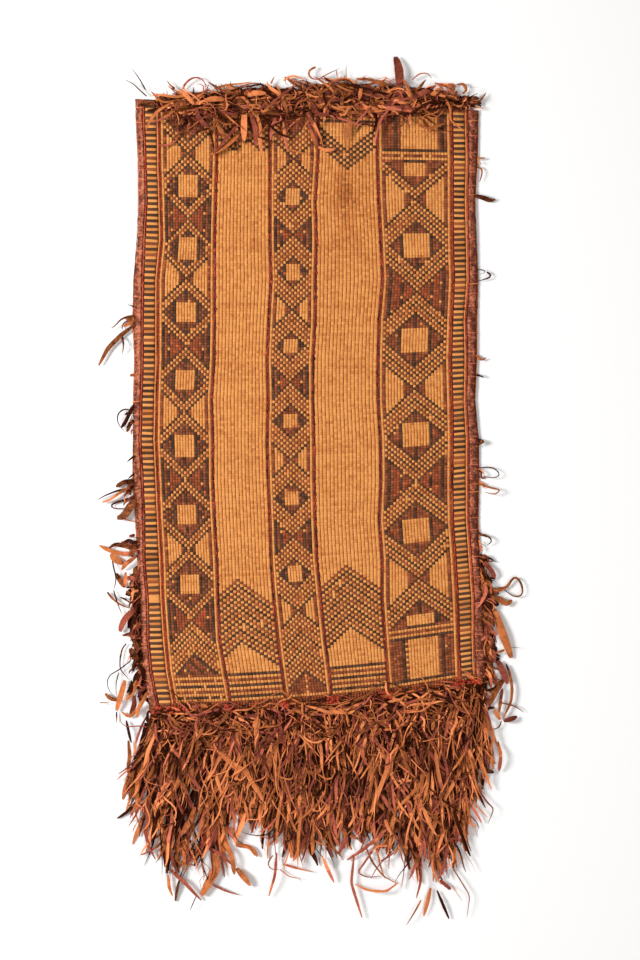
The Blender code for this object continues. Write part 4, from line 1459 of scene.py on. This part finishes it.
class MAT_OT_head_fringe(bpy.types.Operator):
    """The head band and its short fringe, tangled and folded partly over the mat"""

    bl_idname = "mat.head_fringe"
    bl_label = "Head fringe"

    # Broad, nearly black ribbons that lie flat under the tangle and close its gaps with painted
    # shade.
    shade_ribbons = 150

    def execute(self, context):
        count = context.scene.mat_sizes.head_ribbons
        batch = RibbonBatch(80)
        rng = batch.rng
        for i in range(count):
            place = 0.07 + 0.9 * (i + rng.random()) / count
            middle = 1 - abs(2 * place - 1) ** 3
            low, high = tangle_edges(place)
            root = head_root(place, lerp(low, high, rng.betavariate(1.6, 2.0)) * MM)
            if rng.random() < 0.22:
                heading = -math.pi / 2 + rng.gauss(0, 0.6)
                length = rng.uniform(20, 55) * (0.4 + 0.6 * middle) * MM
            else:
                heading = rng.choice((0.0, math.pi)) + rng.gauss(-0.1, 0.45)
                length = rng.uniform(32, 100) * MM
            outward = math.cos(heading)
            if (place < 0.14 and outward < 0) or (place > 0.85 and outward > 0):
                length *= 0.3
            curly = rng.random() < 0.5
            path = free_path(rng, root, heading, length, rng.gauss(0, 1.1 if curly else 0.55),
                             rng.uniform(0.5, 1.3) if curly else rng.uniform(0.0, 0.3),
                             rng.uniform(6, 14) * MM, rng.uniform(0, 9) * MM, 10)
            wide = rng.choice((2.5, 3.2, 4.2, 5.2, 6.5)) * MM * (0.6 if curly else 1.0)
            top = head_root(place, (high + 9) * MM)[1]
            path = [point for point in path if point[1] < top]
            kind, tone = ribbon_hue(rng, -0.1)
            if len(path) > 3:
                batch.add(path, wide, (kind, tone - 0.05), rng.gauss(0, 0.4),
                          rng.gauss(0, 1.0), 0.2, ribbon_shape(rng))
        for _ in range(self.shade_ribbons):
            place = rng.uniform(0.1, 0.96)
            low, high = tangle_edges(place)
            root = head_root(place, rng.uniform(low + 10, high - 6) * MM)
            path = free_path(rng, root, rng.choice((0.0, math.pi)), rng.uniform(30, 60) * MM,
                             rng.gauss(0, 0.3), 0.1, rng.uniform(6, 7) * MM, MM, 5)
            wide = rng.uniform(5, 9) * MM
            # A tone near 0 gives the near-black deep colour of painted shade.
            hue = (float(rng.random() < 0.5), rng.gauss(0.0, 0.05))
            batch.add(path, wide, hue, 0.0, 0.0, 0.0, "leaf")
        batch.add_leaves("head_out", 7.0, 6.0)
        batch.add_leaves("head_over", 13.0, 7.0, 0.04)
        batch.piece("head_fringe_ribbons", "tan_leather", ("head_fringe",))
        # A nearly black sheet under the head tangle: painted shade in its gaps.
        places = np.linspace(0.09, 0.97, 150)
        near = [head_root(place, 3 * MM) for place in places]
        far = [head_root(place, max(5.0, tangle_edges(place)[1] * rng.uniform(0.5, 0.95)) * MM)
               for place in places]
        painted_shade_sheet("head_skin", near, far, 3.0, 4.0)

        rng = random.Random(81)
        cells = Cells()
        count = 108
        for row, rise in enumerate((1.6, 5.0)):
            for i in range(count):
                x, y = head_root(lerp(0.07, 0.97, (i + 0.5) / count), rise * MM)
                cells.add(
                    (x, y, 0.3 * MM), (5.1 * MM, 3.6 * MM, rng.uniform(5.5, 7.5) * MM),
                    (0.0, 0.0, rng.gauss(-0.03, 0.12)), BLACK if (i + row) % 5 == 0 else BROWN,
                    rng.gauss(0.28, 0.1))
        cells.piece("head_band_weave", "tan_leather")
        return {"FINISHED"}


# Small tufts of the side thongs: the height of the first and last root, how many, how far they
# reach from the edge, and how far they drop towards the foot, in millimetres.
TUFTS = {
    "left": (
        (142, 128, 3, 26, 20), (-24, -56, 4, 22, 12), (-140, -190, 7, 34, 24),
        (-250, -282, 5, 34, 18), (-296, -520, 84, 32, 40),
    ),
    "right": (
        (412, 405, 2, 12, 8), (-76, -82, 2, 12, 10), (-120, -150, 4, 26, 20),
        (-238, -262, 3, 20, 18), (-276, -490, 120, 38, 44),
    ),
}


class MAT_OT_side_tufts(bpy.types.Operator):
    """The thong laced along and over each binding, with the ends that hang from it in tufts"""

    bl_idname = "mat.side_tufts"
    bl_label = "Side thongs"

    # A turn of the thong over the binding, by share of the way from the edge to the strip and
    # height in millimetres, and the kinds of leather and tones that it can have.
    turn = ((-0.07, 1.6), (-0.04, 3.6), (0.06, 5.2), (0.3, 5.9), (0.55, 5.9), (0.78, 5.9),
            (0.94, 4.9))
    turn_hues = ((0.0, 0.6), (1.0, 0.9), (1.0, 0.7), (0.0, 0.4), (0.0, 0.2))

    def lace(self, batch, side, strip, outward):
        """The thong along the edge, and its turns over the binding."""
        rng = batch.rng
        thong = []
        for y in np.linspace(-0.52, 0.5, 170):
            proud = 0.7 + 0.6 * rumpled(0, y, 9 * MM, 8.0)
            high = 2.6 + 0.6 * rumpled(0, y, 12 * MM, 9.0)
            thong.append((float(column_x(side, y)) + outward * proud * MM, float(y), high * MM))
        batch.add(thong, 2.6 * MM, HUES["m"], 0.6, 9.0, 0.0, "strap")
        y = -0.53 if side == "left" else -0.475
        while y < 0.49:
            y += rng.uniform(10, 34) * MM
            slant, rise = rng.gauss(0, 1.3) * MM, rng.uniform(0.0, 0.5)
            ex, sx = float(column_x(side, y)), float(column_x(strip, y))
            turn = [(lerp(ex, sx, share), y + slant * share, (high + rise) * MM)
                    for share, high in self.turn]
            hue = rng.choice(self.turn_hues)
            batch.add(turn, rng.uniform(0.8, 1.5) * MM, hue, 0.0, 0.0, 0.0, "strap")

    def execute(self, context):
        for side, strip, outward, seed in (
            ("left", "strip_1", -1, 90), ("right", "strip_8", 1, 91),
        ):
            batch = RibbonBatch(seed)
            rng = batch.rng
            self.lace(batch, side, strip, outward)
            for top, bottom, count, reach, drop in TUFTS[side]:
                for n in range(count):
                    y = lerp(top, bottom, (n + rng.random()) / count) * MM
                    x = float(column_x(side, y)) - outward * rng.uniform(-1, 2) * MM
                    aside, down = reach * rng.uniform(0.3, 0.9), drop * rng.uniform(0.0, 1.1)
                    heading, length = math.atan2(-down, outward * aside), math.hypot(aside, down)
                    path = free_path(
                        rng, (x, y), heading, length * MM, rng.gauss(-0.6 * outward, 0.6),
                        rng.uniform(0.1, 0.7), rng.uniform(2, 8) * MM, rng.uniform(0, 6) * MM, 9)
                    # Every third ribbon of a long tuft is a broad, nearly black leaf that lies flat
                    # under the others: painted shade.
                    if n % 3 == 0 and count > 20:
                        path = [(px, py, 1.2 * MM + 0.1 * pz) for px, py, pz in path]
                        wide, tone = rng.uniform(7, 11) * MM, rng.gauss(-0.03, 0.05)
                        batch.add(path, wide, (float(n % 2), tone), 0.0, 0.0, 0.0, "leaf")
                        continue
                    kind, tone = ribbon_hue(rng, -0.12)
                    batch.add(path, rng.choice((2.4, 3.4, 4.8, 7)) * MM, (kind, tone - 0.1),
                              rng.gauss(0, 0.5), rng.gauss(0, 1.0), 0.25, ribbon_shape(rng))
            batch.add_leaves(side, 5.0, 7.0, 0.14)
            batch.piece(f"side_thong_laced_{side}", "tan_leather", (f"side_thong_{side}",))
        return {"FINISHED"}


class MAT_OT_stage(bpy.types.Operator):
    """The pale floor, the soft lights and the camera over the mat"""

    bl_idname = "mat.stage"
    bl_label = "Stage"

    # The photograph's scale and the pixel over the mat's origin.
    pixel = 1.75 * MM
    wide_px, high_px = 640, 960
    origin_px = (305, 396)
    lens, sensor = 70.0, 36.0

    def execute(self, context):
        scene = context.scene
        scene.view_settings.view_transform = "Standard"
        half, drop = 6.0, 0.3 * MM
        corners = ((-half, -half), (half, -half), (half, half), (-half, half))
        mesh = bpy.data.meshes.new("floor")
        mesh.from_pydata([(x, y, -drop) for x, y in corners], [], [(0, 1, 2, 3)])
        mesh.materials.append(matt_floor())
        floor = bpy.data.objects.new("floor", mesh)
        scene.collection.objects.link(floor)

        data = bpy.data.cameras.new("camera")
        data.lens, data.sensor_width = self.lens, self.sensor
        camera = bpy.data.objects.new("camera", data)
        x = (self.wide_px / 2 - self.origin_px[0]) * self.pixel
        y = (self.origin_px[1] - self.high_px / 2) * self.pixel
        camera.location = (x - 0.8 * MM, y, self.high_px * self.pixel * self.lens / self.sensor)
        scene.collection.objects.link(camera)
        scene.camera = camera

        for name, place, size, power in (
            ("window", (-3.6, 0.5, 3.0), 1.5, 244.0),
            ("fill", (0.9, -1.5, 4.2), 3.0, 53.0),
        ):
            lamp = bpy.data.lights.new(name, "AREA")
            lamp.size = size
            lamp.energy = power
            light = bpy.data.objects.new(name, lamp)
            light.location = place
            light.rotation_euler = Vector(place).to_track_quat("Z", "Y").to_euler()
            scene.collection.objects.link(light)
        world = bpy.data.worlds.new("studio")
        world.use_nodes = True
        world.node_tree.nodes["Background"].inputs["Color"].default_value = colour("FFFFFF")
        world.node_tree.nodes["Background"].inputs["Strength"].default_value = 0.28
        scene.world = world
        return {"FINISHED"}


PIECES = (
    MAT_OT_stage, MAT_OT_ground, MAT_OT_bands, MAT_OT_ladders, MAT_OT_strips, MAT_OT_bindings,
    MAT_OT_foot_band, MAT_OT_foot_fringe, MAT_OT_head_fringe, MAT_OT_side_tufts,
)


class MAT_PT_panel(bpy.types.Panel):
    """Lists the mat's sizes, colours and pieces"""

    bl_idname = "MAT_PT_panel"
    bl_label = "Mat"
    bl_space_type = "VIEW_3D"
    bl_region_type = "UI"
    bl_category = "Mat"

    def draw(self, context):
        for group in (context.scene.mat_sizes, context.scene.mat_colours):
            for name in group.__annotations__:
                self.layout.prop(group, name)
        for piece in PIECES:
            self.layout.operator(piece.bl_idname)


CLASSES = (MatSizes, MatColours, *PIECES, MAT_PT_panel)


def register():
    for item in CLASSES:
        bpy.utils.register_class(item)
    bpy.types.Scene.mat_sizes = bpy.props.PointerProperty(type=MatSizes)
    bpy.types.Scene.mat_colours = bpy.props.PointerProperty(type=MatColours)


def unregister():
    del bpy.types.Scene.mat_colours
    del bpy.types.Scene.mat_sizes
    for item in reversed(CLASSES):
        bpy.utils.unregister_class(item)


def main():
    """Makes the mat piece by piece."""
    register()
    for piece in PIECES:
        group, word = piece.bl_idname.split(".")
        getattr(getattr(bpy.ops, group), word)()


if __name__ == "__main__":
    main()
